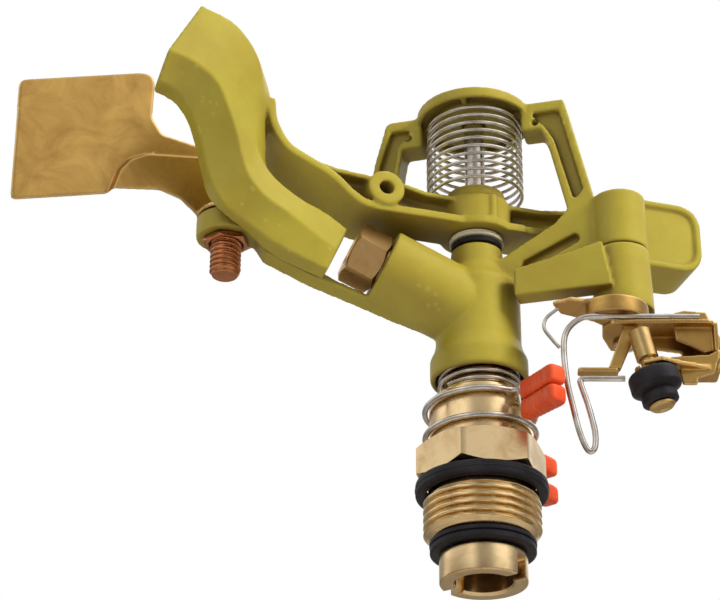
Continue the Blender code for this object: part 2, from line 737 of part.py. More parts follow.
def build_head():
    waist_top = SKIRT_TOP + WAIST_RISE
    neck_low = HEAD_TOP - HEAD_NECK_HEIGHT
    head = turned("head_casting", [
        (0.0, HEAD_TOP), (HEAD_NECK_RADIUS - EDGE, HEAD_TOP), (HEAD_NECK_RADIUS, HEAD_TOP - EDGE),
        (HEAD_NECK_RADIUS, neck_low), (HEAD_NECK_RADIUS + 1.2 * MM, neck_low - 2.4 * MM),
        (WAIST_RADIUS, waist_top), (WAIST_RADIUS, SKIRT_TOP + 3.4 * MM),
        (WAIST_RADIUS + EDGE, SKIRT_TOP + 1.4 * MM), (SKIRT_RADIUS, SKIRT_TOP - EDGE),
        (SKIRT_RADIUS, SKIRT_BOTTOM + EDGE), (SKIRT_RADIUS - EDGE, SKIRT_BOTTOM), (0.0, SKIRT_BOTTOM)])
    barrel = rod("head_barrel", BARREL_RADIUS, jet_point(0.0), jet_point(BARREL_LENGTH), sides=36)

    root = JET_HEIGHT / MM
    reach = -EYE_REACH / MM
    eye_low = EYE_BOTTOM / MM
    deep = BAR_DEPTH / MM
    bar = prism("head_bar", [in_mm([
        (-12.0, root - 4.3), (-20.0, root - 1.8), (-27.0, root + 0.9), (-40.0, root + 5.6),
        (reach + 9.0, eye_low - 3.8), (reach + 6.3, eye_low + 0.4), (reach, eye_low + 0.8),
        (reach, eye_low + 3.4), (reach + 10.2, eye_low + 0.2), (-40.0, root + 5.6 + deep),
        (-34.0, root + 5.0), (-27.0, root + 2.2), (-12.0, root - 1.6)])], BAR_WIDTH,
        frame_matrix(BAR_LINE, UP, ORIGIN))
    eye = pillar("head_eye", EYE_RADIUS, EYE_BOTTOM, EYE_TOP, EYE, sides=28)
    bridge = prism("head_bridge", list(bridge_outline()), BRIDGE_THICK, bridge_frame(0.0))
    cap = pillar("head_cap", CAP_RADIUS, CAP_LIP, BRIDGE_TOP, sides=36)
    boss = pillar("head_trip_boss", BOSS_RADIUS, BOSS_BOTTOM, BOSS_TOP, TRIP_AXIS, sides=28)
    add(head, barrel, bar, eye, bridge, cap, boss)

    inside = CAP_RADIUS - CAP_WALL
    cut(head, turned("head_cap_recess", [
        (CAP_BOSS_RADIUS, CAP_WEB), (inside, CAP_WEB), (inside, CAP_LIP - PAST),
        (CAP_BOSS_RADIUS, CAP_LIP - PAST)], ring=True))
    ribs = pillar("head_cap_rib", CAP_RADIUS - CAP_WALL / 2.0, CAP_WEB - CAP_RIB_DEPTH, CAP_WEB + PAST)
    half = CAP_RIB_WIDTH / 2.0
    corners = ((-CAP_RADIUS, -half, CAP_LIP), (CAP_RADIUS, half, BRIDGE_TOP))
    cross = block("head_cap_cross", *corners, Matrix.Rotation(math.radians(BRIDGE_TURN), 4, "Z"))
    turned_cross = Matrix.Rotation(math.radians(BRIDGE_TURN + 90.0), 4, "Z")
    add(cross, block("head_cap_cross_turned", *corners, turned_cross))
    keep_common(ribs, cross)
    add(head, ribs)

    running = TUBE_RADIUS + RUN
    well = turned("head_skirt_bore", [
        (0.0, JET_HEIGHT), (TUBE_BORE, JET_HEIGHT), (TUBE_BORE, TUBE_TOP + CLEAR),
        (running, TUBE_TOP + CLEAR), (running, SKIRT_TOP), (SKIRT_BORE, SKIRT_TOP),
        (SKIRT_BORE, SKIRT_BOTTOM - PAST), (0.0, SKIRT_BOTTOM - PAST)])
    jet_bore = rod("head_jet_bore", BARREL_BORE, jet_point(0.0), jet_point(BARREL_LENGTH + PAST), sides=28)
    pin_bore = pillar("head_pin_bore", PIN_RADIUS + RUN, PIN_FOOT - CLEAR, BRIDGE_TOP + PAST)
    trip_bore = pillar("head_trip_bore", TRIP_PIN_RADIUS + RUN, BOSS_BOTTOM - PAST, BOSS_TOP + PAST,
                       TRIP_AXIS)
    eye_bore = pillar("head_eye_bore", SCREW_RADIUS + RUN, EYE_BOTTOM - PAST, EYE_TOP + PAST, EYE)
    cut(head, well, jet_bore, pin_bore, trip_bore, eye_bore, *leg_pockets())
    finish_part(head, paint, turret_pivot)


def build_nozzle():
    start = BARREL_LENGTH + CLEAR
    end = JET_END
    back = start - NOZZLE_SHANK
    half = NOZZLE_FLATS / 2.0
    nozzle = rod("nozzle", hex_radius(NOZZLE_FLATS), jet_point(start), jet_point(end), sides=6)
    keep_common(nozzle, rod("nozzle_round", half + NOZZLE_CHAMFER * 2.4, jet_point(start - PAST),
                            jet_point(end), sides=36, end_radius=half - NOZZLE_CHAMFER * 0.6))
    add(nozzle, rod("nozzle_shank", BARREL_BORE - CLEAR, jet_point(back), jet_point(start + CLEAR)))
    cut(nozzle, rod("nozzle_bore", NOZZLE_ENTRY, jet_point(back - PAST), jet_point(end + PAST), sides=24,
                    end_radius=NOZZLE_BORE))
    finish_part(nozzle, brass, turret_pivot)


def build_pivot():
    low = BRIDGE_TOP + CLEAR
    high = low + PIN_HEAD_HEIGHT
    pin = turned("arm_pin", [
        (0.0, high), (PIN_HEAD_RADIUS - PIN_HEAD_CROWN, high), (PIN_HEAD_RADIUS, low + EDGE),
        (PIN_HEAD_RADIUS, low), (PIN_RADIUS, low), (PIN_RADIUS, PIN_FOOT), (0.0, PIN_FOOT)], steps=24)
    finish_part(pin, steel, turret_pivot)
    inner = PIN_RADIUS + RUN
    low = HEAD_TOP + CLEAR
    for name, outer, finish in (("thrust_seal", HEAD_NECK_RADIUS - 0.1 * MM, rubber),
                                ("thrust_washer", HEAD_NECK_RADIUS + 0.3 * MM, pale_plastic)):
        top = low + THRUST_WASHER_HEIGHT
        ring = turned(name, [
            (inner, top), (outer - FINE_EDGE, top), (outer, top - FINE_EDGE), (outer, low + FINE_EDGE),
            (outer - FINE_EDGE, low), (inner, low)], steps=28, ring=True)
        finish_part(ring, finish, turret_pivot)
        low = top + CLEAR


# Spoon of the arm, from its tip to the end in front of the nozzle. Each section gives its left
# edge, the ridge that faces the viewer and its right edge, then how far its back lies behind
# and how far the back's right corner stands out. Millimetres, with Z from the hub's lower face.
SPOON = [
    ((-81.4, -16.0, 19.0), (-80.2, -20.0, 25.0), (-72.4, -17.0, 40.9), 5.0, 0.4),
    ((-76.3, -14.0, 18.2), (-73.8, -19.5, 23.2), (-63.9, -16.0, 38.0), 5.0, 0.8),
    ((-72.6, -11.0, 16.2), (-67.8, -17.0, 20.5), (-57.8, -13.0, 32.6), 5.0, 2.0),
    ((-70.1, -8.5, 12.6), (-64.6, -15.0, 15.7), (-55.7, -10.5, 25.8), 5.0, 3.4),
    ((-68.4, -7.2, 7.8), (-61.9, -13.0, 10.6), (-56.3, -9.4, 20.2), 5.0, 3.8),
    ((-67.1, -6.4, 3.7), (-60.1, -11.5, 5.8), (-56.4, -8.8, 14.5), 4.8, 3.8),
    ((-65.6, -6.0, -0.4), (-58.0, -10.4, 1.3), (-55.4, -8.0, 9.3), 4.8, 3.0),
    ((-62.6, -5.8, -4.8), (-53.9, -9.2, -2.5), (-51.8, -7.2, 4.4), 3.2, 1.2),
    ((-57.0, -5.2, -8.1), (-48.6, -8.0, -4.8), (-45.3, -6.2, 0.4), 3.4, 0.4),
    ((-49.3, -4.6, -12.3), (-43.4, -6.8, -7.5), (-38.5, -5.6, -2.3), 5.0, 0.4),
    ((-37.7, -4.2, -16.4), (-35.9, -5.4, -11.5), (-33.2, -4.8, -5.2), 4.6, 0.4),
]


def spoon_ring(left, ridge, right, back, side):
    left, ridge, right = (Vector(point) * MM + UP * HUB_BOTTOM for point in (left, ridge, right))
    behind = Vector((0.0, back * MM, 0.0))
    return [left, ridge, right, right + behind + Vector((side * MM, 0.0, 0.0)), left + behind]


def thicken(path, thickness):
    """Closed outline of a strip: the path and its copy moved square to it."""
    path = [Vector(point) for point in path]
    moved = []
    for index, point in enumerate(path):
        before = path[max(index - 1, 0)]
        after = path[min(index + 1, len(path) - 1)]
        run = (after - before).normalized()
        moved.append(point + Vector((-run.y, run.x)) * thickness)
    return [tuple(point) for point in path + list(reversed(moved))]


def arm_outlines():
    """Flange, web and rim of the beam seen from the side, in millimetres."""
    low = FLANGE_LOW / MM
    weight = WEIGHT_IN / MM + 2.0
    flange = [(10.0, low), (-12.0, low), (-27.0, low), (-32.5, low + 1.9), (-38.0, low + 6.6),
              (-43.5, low + 9.4), (-49.0, low + 12.6), (-52.6, low + 18.6), (-53.6, low + 25.4)]
    web = [(weight, low + 1.0), (weight, low + 9.6), (14.0, low + 7.6), (-14.0, low + 7.4),
           (-20.0, low + 8.6), (-41.0, low + 9.3), (-44.0, low + 9.2), (-38.0, low + 7.4),
           (-32.0, low + 2.6), (-27.0, low + 1.0)]
    rim = [(weight, low + 10.8), (15.0, low + 6.9), (-14.0, low + 6.9), (-20.0, low + 8.2),
           (-36.0, low + 9.4), (-46.0, low + 11.6)]
    return flange, web, rim


def weight_outline(margin):
    """Side view of the balance weight, drawn in by a margin at its free edges."""
    corner = WEIGHT_CORNER - margin
    root = 0.0 if margin else 1.0 * MM
    return rounded([
        (WEIGHT_IN - margin, WEIGHT_LOW + margin), (WEIGHT_OUT - margin, WEIGHT_LOW + margin),
        (WEIGHT_OUT - margin, WEIGHT_HIGH - margin), (WEIGHT_IN - margin, WEIGHT_HIGH - margin)],
        [root, corner, corner, root], 6)


def build_arm():
    hub = turned("impact_arm", [
        (0.0, HUB_TOP), (HUB_NECK_RADIUS, HUB_TOP), (HUB_NECK_RADIUS, HUB_SHOULDER),
        (HUB_RADIUS, HUB_SHOULDER), (HUB_RADIUS, HUB_BOTTOM), (0.0, HUB_BOTTOM)])
    flange, web, rim = arm_outlines()
    rise = [point * MM for point in smooth_path(flange, 3)]
    sweep = prism("arm_sweep", [thicken(rise, -FLANGE_THICK)], FLANGE_FAR - FLANGE_NEAR,
                  side_frame((0.0, (FLANGE_FAR + FLANGE_NEAR) / 2.0, 0.0)))
    wing = prism("arm_wing", [thicken(rise[6:], -WING_THICK)], WING_FAR - FLANGE_FAR + 1.0 * MM,
                 side_frame((0.0, (WING_FAR + FLANGE_FAR - 1.0 * MM) / 2.0, WING_LIFT)))
    bulge_low = FLANGE_LOW - FLANGE_LIFT / 2.0
    bulge = pillar("arm_bulge", HUB_RADIUS + BULGE, bulge_low, bulge_low + FLANGE_THICK, sides=36)
    end = WEIGHT_IN / MM + 2.0
    rear_flange = prism("arm_rear_flange", [in_mm([
        (0.0, -6.8), (12.0, -6.2), (end, -5.0), (end, 4.0), (0.0, 4.8)])], FLANGE_THICK,
        Matrix.Translation(UP * (FLANGE_LOW + FLANGE_LIFT + FLANGE_THICK / 2.0)))
    web = prism("arm_web", [in_mm(web)], WEB_HALF * 2.0, side_frame())
    rim = prism("arm_rim", [thicken(in_mm(rim), -RIM_THICK)], RIM_DEPTH, side_frame((0.0, -1.4 * MM, 0.0)))
    lug_near = FLANGE_NEAR - 0.8 * MM
    lug_far = FLANGE_FAR - 1.0 * MM
    lug = rod("arm_lug", LUG_RADIUS, (LUG_X, lug_near, LUG_Z), (LUG_X, lug_far, LUG_Z))
    spoon = loft("arm_spoon", [spoon_ring(*values) for values in SPOON])
    weight = prism("arm_weight", [weight_outline(0.0)], WEIGHT_FAR - WEIGHT_NEAR,
                   side_frame((0.0, (WEIGHT_FAR + WEIGHT_NEAR) / 2.0, 0.0)))
    add(hub, sweep, wing, bulge, rear_flange, web, rim, lug, spoon, weight)
    dish = prism("arm_weight_dish", [weight_outline(WEIGHT_RIM)], WEIGHT_DISH * 2.0,
                 side_frame((0.0, WEIGHT_NEAR, 0.0)))
    bore = pillar("arm_bore", PIN_RADIUS + BUSH_WALL + 2.0 * RUN, HUB_BOTTOM - PAST, HUB_TOP + PAST, sides=28)
    hole = rod("arm_lug_hole", LUG_HOLE, (LUG_X, lug_near - PAST, LUG_Z), (LUG_X, lug_far + PAST, LUG_Z))
    cut(hub, dish, bore, hole)
    finish_part(hub, paint, arm_pivot)

    inner = PIN_RADIUS + RUN
    outer = inner + BUSH_WALL
    bush = turned("arm_bush", [(inner, HUB_TOP), (outer, HUB_TOP), (outer, HUB_BOTTOM), (inner, HUB_BOTTOM)],
                  steps=28, ring=True)
    finish_part(bush, pale_plastic, arm_pivot)
    build_arm_spring()


def build_arm_spring():
    """Coil round the pin, with a tail that hooks down beside the web."""
    coil = helix(ARM_COIL_MEAN, ARM_COIL_BOTTOM, ARM_COIL_TOP, ARM_COIL_TURNS, start=ARM_HOOK_AZIMUTH)
    foot = FLANGE_LOW + FLANGE_LIFT + FLANGE_THICK + CLEAR + ARM_WIRE
    tail = []
    bends = ((-6.5, foot), (-6.5, ARM_COIL_BOTTOM - 1.4 * MM), (-4.0, ARM_COIL_BOTTOM - 0.4 * MM))
    for degrees, height in bends:
        turn = math.radians(ARM_HOOK_AZIMUTH + degrees)
        tail.append(Vector((ARM_COIL_MEAN * math.cos(turn), ARM_COIL_MEAN * math.sin(turn), height)))
    print("arm spring, least gap to itself in mm:", round(least_self_gap(coil, ARM_WIRE, 6) / MM, 2))
    finish_part(wire("arm_spring", tail + coil, ARM_WIRE), steel, turret_pivot)


def build_deflector():
    """Upright plate and its stepped foot, drawn from the eye's upper face in millimetres."""
    far = -PLATE_REACH / MM
    high = PLATE_HIGH / MM
    foot_far = -FOOT_REACH / MM
    foot_high = FOOT_HIGH / MM
    plate = [(far, high - 8.7), (far + 32.4, high), (far + 32.0, high - 13.1), (far + 34.7, high - 17.3),
             (-4.0, foot_high + 2.6), (-1.4, foot_high - 3.6), (-5.0, 4.4), (-16.0, 6.0),
             (foot_far - 0.2, 4.4), (far + 0.4, -1.2)]
    corners = [2.4, 3.4, 3.0, 2.0, 1.0, 1.0, 1.0, 1.0, 0.5, 1.2]
    foot = [(foot_far, 4.7), (foot_far + 2.8, foot_high - 6.0), (foot_far + 7.6, foot_high - 2.2),
            (-5.0, foot_high), (-2.0, 8.4), (0.4, 3.0), (0.4, 0.4), (-6.6, 0.4), (-8.0, 1.8), (-11.0, 4.4),
            (foot_far + 10.8, 6.2)]
    hollow = [(foot_far - 1.6, 2.4), (foot_far + 4.0, foot_high - 7.2), (foot_far + 8.2, foot_high - 3.6),
              (-6.0, foot_high - 1.6), (-3.4, 8.4), (-1.4, 2.6), (-6.0, 2.6), (-10.4, 3.4)]

    def upright(middle):
        return side_frame(EYE + Vector((0.0, middle, EYE_TOP)))

    deep = FOOT_STEP + SHEET / 2.0
    sheet = prism("deflector", [soft(plate, corners, 5)], SHEET, upright(PLATE_Y + SHEET / 2.0))
    foot = prism("deflector_foot", [soft(foot, 1.0, 5)], deep, upright(PLATE_Y + (SHEET - deep) / 2.0))
    hollow = prism("deflector_foot_hollow", [soft(hollow, 0.6, 5)], FOOT_STEP,
                   upright(PLATE_Y + SHEET - FOOT_STEP / 2.0 + CLEAR))
    low = EYE_TOP + CLEAR
    tab = pillar("deflector_tab", EYE_RADIUS, low, low + SHEET, EYE, sides=28)
    hole = pillar("deflector_hole", SCREW_RADIUS + RUN, low - PAST, low + SHEET + PAST, EYE)
    add(sheet, foot, tab)
    cut(sheet, hole, hollow)
    finish_part(sheet, sheet_brass, deflector_pivot)
    build_deflector_screw(low + SHEET - CLEAR)


def build_deflector_screw(top):
    turns = int(SCREW_TAIL / SCREW_PITCH)
    root = SCREW_RADIUS - SCREW_THREAD_DEPTH
    profile = [(0.0, top), (SCREW_RADIUS, top)]
    for turn in range(turns, 0, -1):
        start = SCREW_BOTTOM + turn * SCREW_PITCH
        profile += [(SCREW_RADIUS, start), (root, start - SCREW_PITCH * 0.5)]
    profile += [(root, SCREW_BOTTOM), (0.0, SCREW_BOTTOM)]
    screw = turned("deflector_screw", profile, steps=16)
    settle(screw, Matrix.Translation(EYE))
    finish_part(screw, copper, turret_pivot)

    nut = pillar("deflector_nut", hex_radius(NUT_FLATS), NUT_TOP - NUT_HEIGHT, NUT_TOP, EYE, sides=6)
    low = NUT_TOP - NUT_HEIGHT
    cut(nut, pillar("deflector_nut_bore", SCREW_RADIUS + RUN, low - PAST, NUT_TOP + PAST, EYE))
    finish_part(nut, copper, turret_pivot)


def settle(item, place):
    """Writes an object's modifiers into its mesh, put into a frame."""
    bpy.context.view_layer.update()
    seen = item.evaluated_get(bpy.context.evaluated_depsgraph_get())
    mesh = bpy.data.meshes.new_from_object(seen)
    item.modifiers.clear()
    mesh.transform(place)
    item.data = mesh


def build_trip_lever():
    """Sleeve under the bridge's boss, with the tooth that the arm knocks and its brass plate."""
    top = BOSS_BOTTOM - CLEAR
    low = SLEEVE_BOTTOM / MM
    lever = pillar("trip_lever", SLEEVE_LOW_RADIUS, SLEEVE_BOTTOM, top, TRIP_AXIS, sides=28,
                   top_radius=SLEEVE_TOP_RADIUS)
    end = -LEVER_REACH / MM
    high = top / MM
    tooth = [(end, low + LEVER_LOW / MM), (end, low + LEVER_HIGH / MM), (end + 13.6, high - 2.5),
             (-3.0, high - 0.5), (-1.0, low + LEVER_LOW / MM)]
    middle = -LEVER_NEAR - LEVER_THICK / 2.0
    add(lever, prism("trip_lever_tooth", [soft(tooth, 0.8)], LEVER_THICK, bridge_frame(middle, TRIP_AXIS)))
    cut(lever, pillar("trip_lever_bore", TRIP_PIN_RADIUS + RUN, SLEEVE_BOTTOM - PAST, top + PAST, TRIP_AXIS))
    finish_part(lever, paint, trip_pivot)

    high = SLEEVE_BOTTOM - CLEAR
    far = -TRIP_PLATE_REACH / MM
    away = -SKIRT_PLATE_AWAY / MM
    radius = SKIRT_PLATE_RADIUS / MM

    def arc(reach, first, last, count):
        turns = [math.radians(first + (last - first) * step / count) for step in range(count + 1)]
        return [(away + reach * math.cos(turn), away + reach * math.sin(turn)) for turn in turns]

    shelf = [(far, -7.4), (far + 4.0, -9.8), (far + 7.2, -8.8)] + arc(radius, 228.0, 350.0, 8)
    shelf += [(5.6, 1.5), (-1.6, 5.6), (-7.0, 0.9), (far + 2.2, -2.9)]
    inner = radius - SHEET / MM
    ring = arc(radius, 215.0, 350.0, 12) + list(reversed(arc(inner, 215.0, 350.0, 12)))
    plate = prism("trip_plate", [in_mm(shelf)], SHEET, trip_plan(high - SHEET / 2.0))
    middle = high - 0.3 * MM - SKIRT_PLATE_DROP / 2.0
    add(plate, prism("trip_plate_skirt", [in_mm(ring)], SKIRT_PLATE_DROP, trip_plan(middle)))
    cut(plate, pillar("trip_plate_bore", TRIP_PIN_RADIUS + RUN, high - SHEET - PAST, high + PAST, TRIP_AXIS))
    finish_part(plate, sheet_brass, trip_pivot)

    foot = FEELER_TOP - SHEET - CLEAR
    pin = pillar("trip_pin", TRIP_PIN_RADIUS, foot - TRIP_PIN_HEAD_HEIGHT / 2.0, BOSS_TOP - CLEAR, TRIP_AXIS)
    add(pin, pillar("trip_pin_head", TRIP_PIN_HEAD, foot - TRIP_PIN_HEAD_HEIGHT, foot, TRIP_AXIS))
    finish_part(pin, steel, turret_pivot)


def build_feeler():
    """Brass bracket that hangs on the trip's pin, drawn from that pin in millimetres."""
    top = FEELER_TOP / MM
    low = FEELER_LOW / MM
    end = BRACKET_REACH / MM
    near = -BRACKET_NEAR / MM
    shelf = [(-6.0, near + 3.0), (-4.0, near + 0.5), (10.0, near), (end - 2.0, near), (end, near + 3.0),
             (end - 4.0, near + 8.0), (5.0, 4.5), (-3.0, 4.5), (-5.5, -2.0)]
    upright = [(10.0, top + 2.6), (12.5, top + 3.3), (end - 2.7, top + 2.8), (end + 0.5, top - 4.4),
               (end + 0.2, top - 6.4), (end - 3.5, top - 7.4), (13.6, top - 5.6), (10.2, top - 4.0),
               (9.8, top - 1.0)]
    front = [(8.2, low + 2.1), (end - 3.0, low + 2.7), (end - 0.2, low + 4.3), (end - 0.9, low + 1.5),
             (end - 2.0, low - 1.8), (14.4, low - 3.0), (14.0, low - 4.6), (10.8, low - 4.6), (10.2, low - 1.0)]
    floor = [(0.5, near + 2.0), (2.0, near - 2.5), (6.0, near - 4.5), (9.0, near - 3.0), (end - 0.5, near + 1.0),
             (end - 0.5, near + 7.0), (2.0, near + 7.0)]
    rear = [(5.0, top - 0.5), (end - 1.0, top - 0.5), (end - 1.0, low - 0.5), (12.0, low - 0.5), (12.0, top - 5.0),
            (5.0, top - 4.0)]
    end_wall = [(near + 0.8, top - 0.5), (near + 8.0, top - 0.5), (near + 8.0, low - 0.5), (near + 0.8, low - 0.5)]
    brace = [(-1.2, top - 0.5), (2.4, top - 0.5), (-2.6, low - 0.5), (-5.4, low - 0.5)]
    foot = [(-12.0, near + 1.0), (-3.0, near + 1.0), (-3.0, near + 4.0), (-12.0, near + 4.0)]
    bracket = prism("trip_bracket", [soft(shelf, 1.0)], SHEET, trip_plan(FEELER_TOP - SHEET / 2.0))
    floor_height = FEELER_LOW - SHEET / 2.0
    add(bracket,
        prism("trip_bracket_end", [in_mm(end_wall)], SHEET,
              frame_matrix(TRIP_V, UP, TRIP_AXIS + TRIP_U * (end - 1.0) * MM)),
        prism("trip_bracket_floor", [soft(floor, 0.8)], SHEET, trip_plan(floor_height)),
        prism("trip_bracket_front", [soft(front, 0.4, 2)], SHEET, trip_side(near + 0.6)),
        prism("trip_bracket_upright", [soft(upright, 0.4, 2)], SHEET, trip_side(near + 2.7)),
        prism("trip_bracket_rear", [in_mm(rear)], SHEET, trip_side(near + 7.4)),
        prism("trip_bracket_brace", [in_mm(brace)], SHEET, trip_side(near + 2.4)),
        prism("trip_bracket_foot", [in_mm(foot)], SHEET, trip_plan(floor_height - 0.1 * MM)))
    shank_hole = POST_SHANK + CLEAR
    under = FEELER_TOP - SHEET
    pin_hole = pillar("trip_bracket_hole", TRIP_PIN_RADIUS + RUN, under - PAST, FEELER_TOP + PAST, TRIP_AXIS)
    post_hole = rod("trip_bracket_post_hole", shank_hole, post_point(-2.0 * SHEET), post_point(SHEET))
    cut(bracket, pin_hole, post_hole)
    finish_part(bracket, sheet_brass, trip_pivot)

    high = -BUMPER_DROP
    rim = high - BUMPER_HEIGHT
    groove = BUMPER_WAIST
    bumper = turned("trip_bumper", [
        (shank_hole, high), (BUMPER_RADIUS - 1.1 * MM, high), (BUMPER_RADIUS, high - 1.0 * MM),
        (BUMPER_RADIUS, high - 3.6 * MM), (BUMPER_RADIUS - 1.1 * MM, high - 4.3 * MM),
        (groove, high - 4.9 * MM), (groove + 0.5 * MM, high - 5.4 * MM), (groove + 0.5 * MM, rim + 0.4 * MM),
        (groove - 0.2 * MM, rim), (shank_hole, rim)], steps=28, ring=True)
    settle(bumper, post_frame())
    finish_part(bumper, rubber, trip_pivot)

    rivet = rim - CLEAR
    above = 3.0 * CLEAR
    post = rod("bumper_post", POST_RADIUS, post_point(above), post_point(FEELER_DROP - 2.2 * MM - SHEET))
    shank = rod("bumper_shank", POST_SHANK, post_point(rivet - POST_RIVET / 2.0), post_point(above + SHEET / 2.0))
    add(post, shank, rod("bumper_rivet", RIVET_RADIUS, post_point(rivet - POST_RIVET), post_point(rivet)))
    finish_part(post, brass, trip_pivot)
    build_trip_wires()


def build_trip_wires():
    """Wire on the bracket whose loop stands between the stop clips, and the toggle's spring."""
    lift = (FEELER_TOP + CLEAR + TRIP_WIRE) / MM
    stop = NEAR_CLIP_HEIGHT / MM
    low = FEELER_LOW / MM - 3.0
    side = -LOOP_ACROSS / MM
    foot = stop - LOOP_DROP / MM
    route = [(BRACKET_REACH / MM - 4.4, side, lift), (0.0, side, lift), (-8.5, side, lift), (-11.7, side, lift - 1.0),
             (-14.2, side, lift - 3.8), (-15.0, side, lift - 8.0), (-14.6, side, stop), (-13.6, side, stop - 6.0),
             (-12.4, side, foot + 5.0), (-11.2, side, foot + 1.3), (-10.1, side, foot), (-9.1, side, foot + 1.3),
             (-9.0, side, foot + 5.0), (-10.2, side, stop - 6.0), (-11.6, side, low - 1.4),
             (-11.4, side, low - 0.3), (-10.2, side, low), (-5.0, side, low), (-1.8, side, low)]
    loop = smooth_path([by_trip(*point) for point in route], 3)
    finish_part(wire("trip_wire", loop, TRIP_WIRE), steel, trip_pivot)

    high = SLEEVE_BOTTOM / MM
    route = [(-15.7, -7.0, high - 2.0), (-18.4, -6.9, high - 4.4), (-19.0, -6.9, high - 7.0),
             (-17.4, -7.1, high - 9.8), (-15.8, -7.3, high - 12.0)]
    bow = smooth_path([by_trip(*point) for point in route], 4)
    finish_part(wire("toggle_spring", bow, TOGGLE_WIRE), steel, trip_pivot)


def clip_path(height, azimuth, sag, spread, steps=24):
    """One turn of wire round the stem, with two ends that stand out one above the other."""
    half = CLIP_PITCH / 2.0
    points = []

    def at(radius, degrees, rise):
        angle = math.radians(azimuth + degrees)
        points.append(Vector((radius * math.cos(angle), radius * math.sin(angle), height + rise)))

    inner_end = TAB_INNER + TAB_SOCKET - CLEAR
    at(inner_end, 0.0, -sag - spread)
    at(TAB_INNER - 0.4 * MM, 0.0, -sag - spread)
    at(CLIP_MEAN + 2.0 * MM, 0.0, -half - 0.2 * MM)
    at(CLIP_MEAN + 0.9 * MM, 0.8, -half)
    at(CLIP_MEAN + 0.25 * MM, 4.0, -half)
    for step in range(steps + 1):
        share = step / steps
        at(CLIP_MEAN, 9.0 + share * 342.0, -half + share * CLIP_PITCH)
    at(CLIP_MEAN + 0.25 * MM, 356.0, half)
    at(CLIP_MEAN + 0.9 * MM, 359.2, half)
    at(CLIP_MEAN + 2.0 * MM, 360.0, half + 0.2 * MM)
    at(TAB_INNER - 0.4 * MM, 360.0, spread - sag)
    at(inner_end, 360.0, spread - sag)
    return points


def build_clip(side, height, azimuth, sag, spread, pivot):
    path = clip_path(height, azimuth, sag, spread)
    finish_part(wire(side + "_stop_clip", path, CLIP_WIRE), steel, pivot)
    turn = Matrix.Rotation(math.radians(azimuth), 4, "Z")
    out = turn @ Vector((1.0, 0.0, 0.0))
    root = TAB_ROOT_WIDTH / 2.0
    tip = TAB_TIP_WIDTH / 2.0
    outline = rounded([(TAB_INNER, -root), (TAB_OUTER, -tip), (TAB_OUTER, tip), (TAB_INNER, root)],
                      [EDGE, 3.0 * EDGE, 3.0 * EDGE, EDGE], 4)
    for level, rise in (("lower", -spread), ("upper", spread)):
        middle = UP * (height - sag + rise)
        name = side + "_tab_" + level
        tab = prism(name, [outline], TAB_HEIGHT, Matrix.Translation(middle) @ turn)
        cut(tab, rod(side + "_socket_" + level, CLIP_WIRE + CLEAR, out * (TAB_INNER - PAST) + middle,
                     out * (TAB_INNER + TAB_SOCKET) + middle, sides=16))
        finish_part(tab, red_plastic, pivot)


build_nipple()
build_turning_tube()
build_head()
build_nozzle()
build_pivot()
build_arm()
build_deflector()
build_trip_lever()
build_feeler()
build_clip("near", NEAR_CLIP_HEIGHT, NEAR_CLIP_AZIMUTH, NEAR_TAB_SAG, NEAR_TAB_SPREAD, near_clip_pivot)
build_clip("far", FAR_CLIP_HEIGHT, FAR_CLIP_AZIMUTH, FAR_TAB_SAG, FAR_TAB_SPREAD, far_clip_pivot)
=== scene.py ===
import math

import bmesh
import bpy
from mathutils import Matrix, Vector


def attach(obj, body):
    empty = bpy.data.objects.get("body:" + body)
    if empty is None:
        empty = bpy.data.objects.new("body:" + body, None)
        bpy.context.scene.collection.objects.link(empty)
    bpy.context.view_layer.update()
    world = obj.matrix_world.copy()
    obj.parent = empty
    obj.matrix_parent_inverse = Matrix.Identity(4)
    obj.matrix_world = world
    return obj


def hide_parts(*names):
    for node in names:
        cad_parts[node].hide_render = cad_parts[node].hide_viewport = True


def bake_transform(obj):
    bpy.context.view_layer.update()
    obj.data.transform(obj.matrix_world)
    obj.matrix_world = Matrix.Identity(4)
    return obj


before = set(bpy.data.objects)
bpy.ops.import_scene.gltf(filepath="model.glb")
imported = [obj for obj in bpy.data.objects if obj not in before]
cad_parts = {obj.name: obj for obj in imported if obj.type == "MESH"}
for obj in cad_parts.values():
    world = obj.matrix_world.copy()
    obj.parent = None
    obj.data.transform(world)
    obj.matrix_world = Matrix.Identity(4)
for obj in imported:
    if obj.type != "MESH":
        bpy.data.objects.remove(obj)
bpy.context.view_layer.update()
print("frame loaded with", len(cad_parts), "nodes")

# Shapes are drawn in millimetres and made metres when a piece is finished
mm = 0.001
castAngle = 60.0    # edges sharper than this stay sharp on a casting or a pressed sheet
origin = Vector((0.0, 0.0, 0.0))
up = Vector((0.0, 0.0, 1.0))

# Places that several pieces share
layout = {
    "hubLow": 62.4,        # lower face of the arm's hub
    "headTop": 59.0,       # upper end of the neck, under the rings of the hub
    "bridgeTop": 97.0,
    "bridgeTurn": -32.0,   # degrees from the arm's own plane
    "jetHeight": 41.7,     # where the barrel's line leaves the turning axis
    "jetRise": 22.0,       # degrees
    "tripReach": 34.0,     # turning axis to the trip's pin
    "tripTurn": -17.0,     # degrees that the trip's sheet parts stand turned from the arm
    "eyeReach": 59.45,     # turning axis to the deflector's screw
    "eyeTurn": -6.18,      # degrees from the arm's own plane
    "eyeTop": 61.2,
    "gap": 0.3,            # room between pieces that move on each other
}


def headings(degrees):
    # a level direction at this angle to the arm, and the one square to it
    turn = math.radians(degrees)
    return Vector((math.cos(turn), math.sin(turn), 0.0)), Vector((-math.sin(turn), math.cos(turn), 0.0))


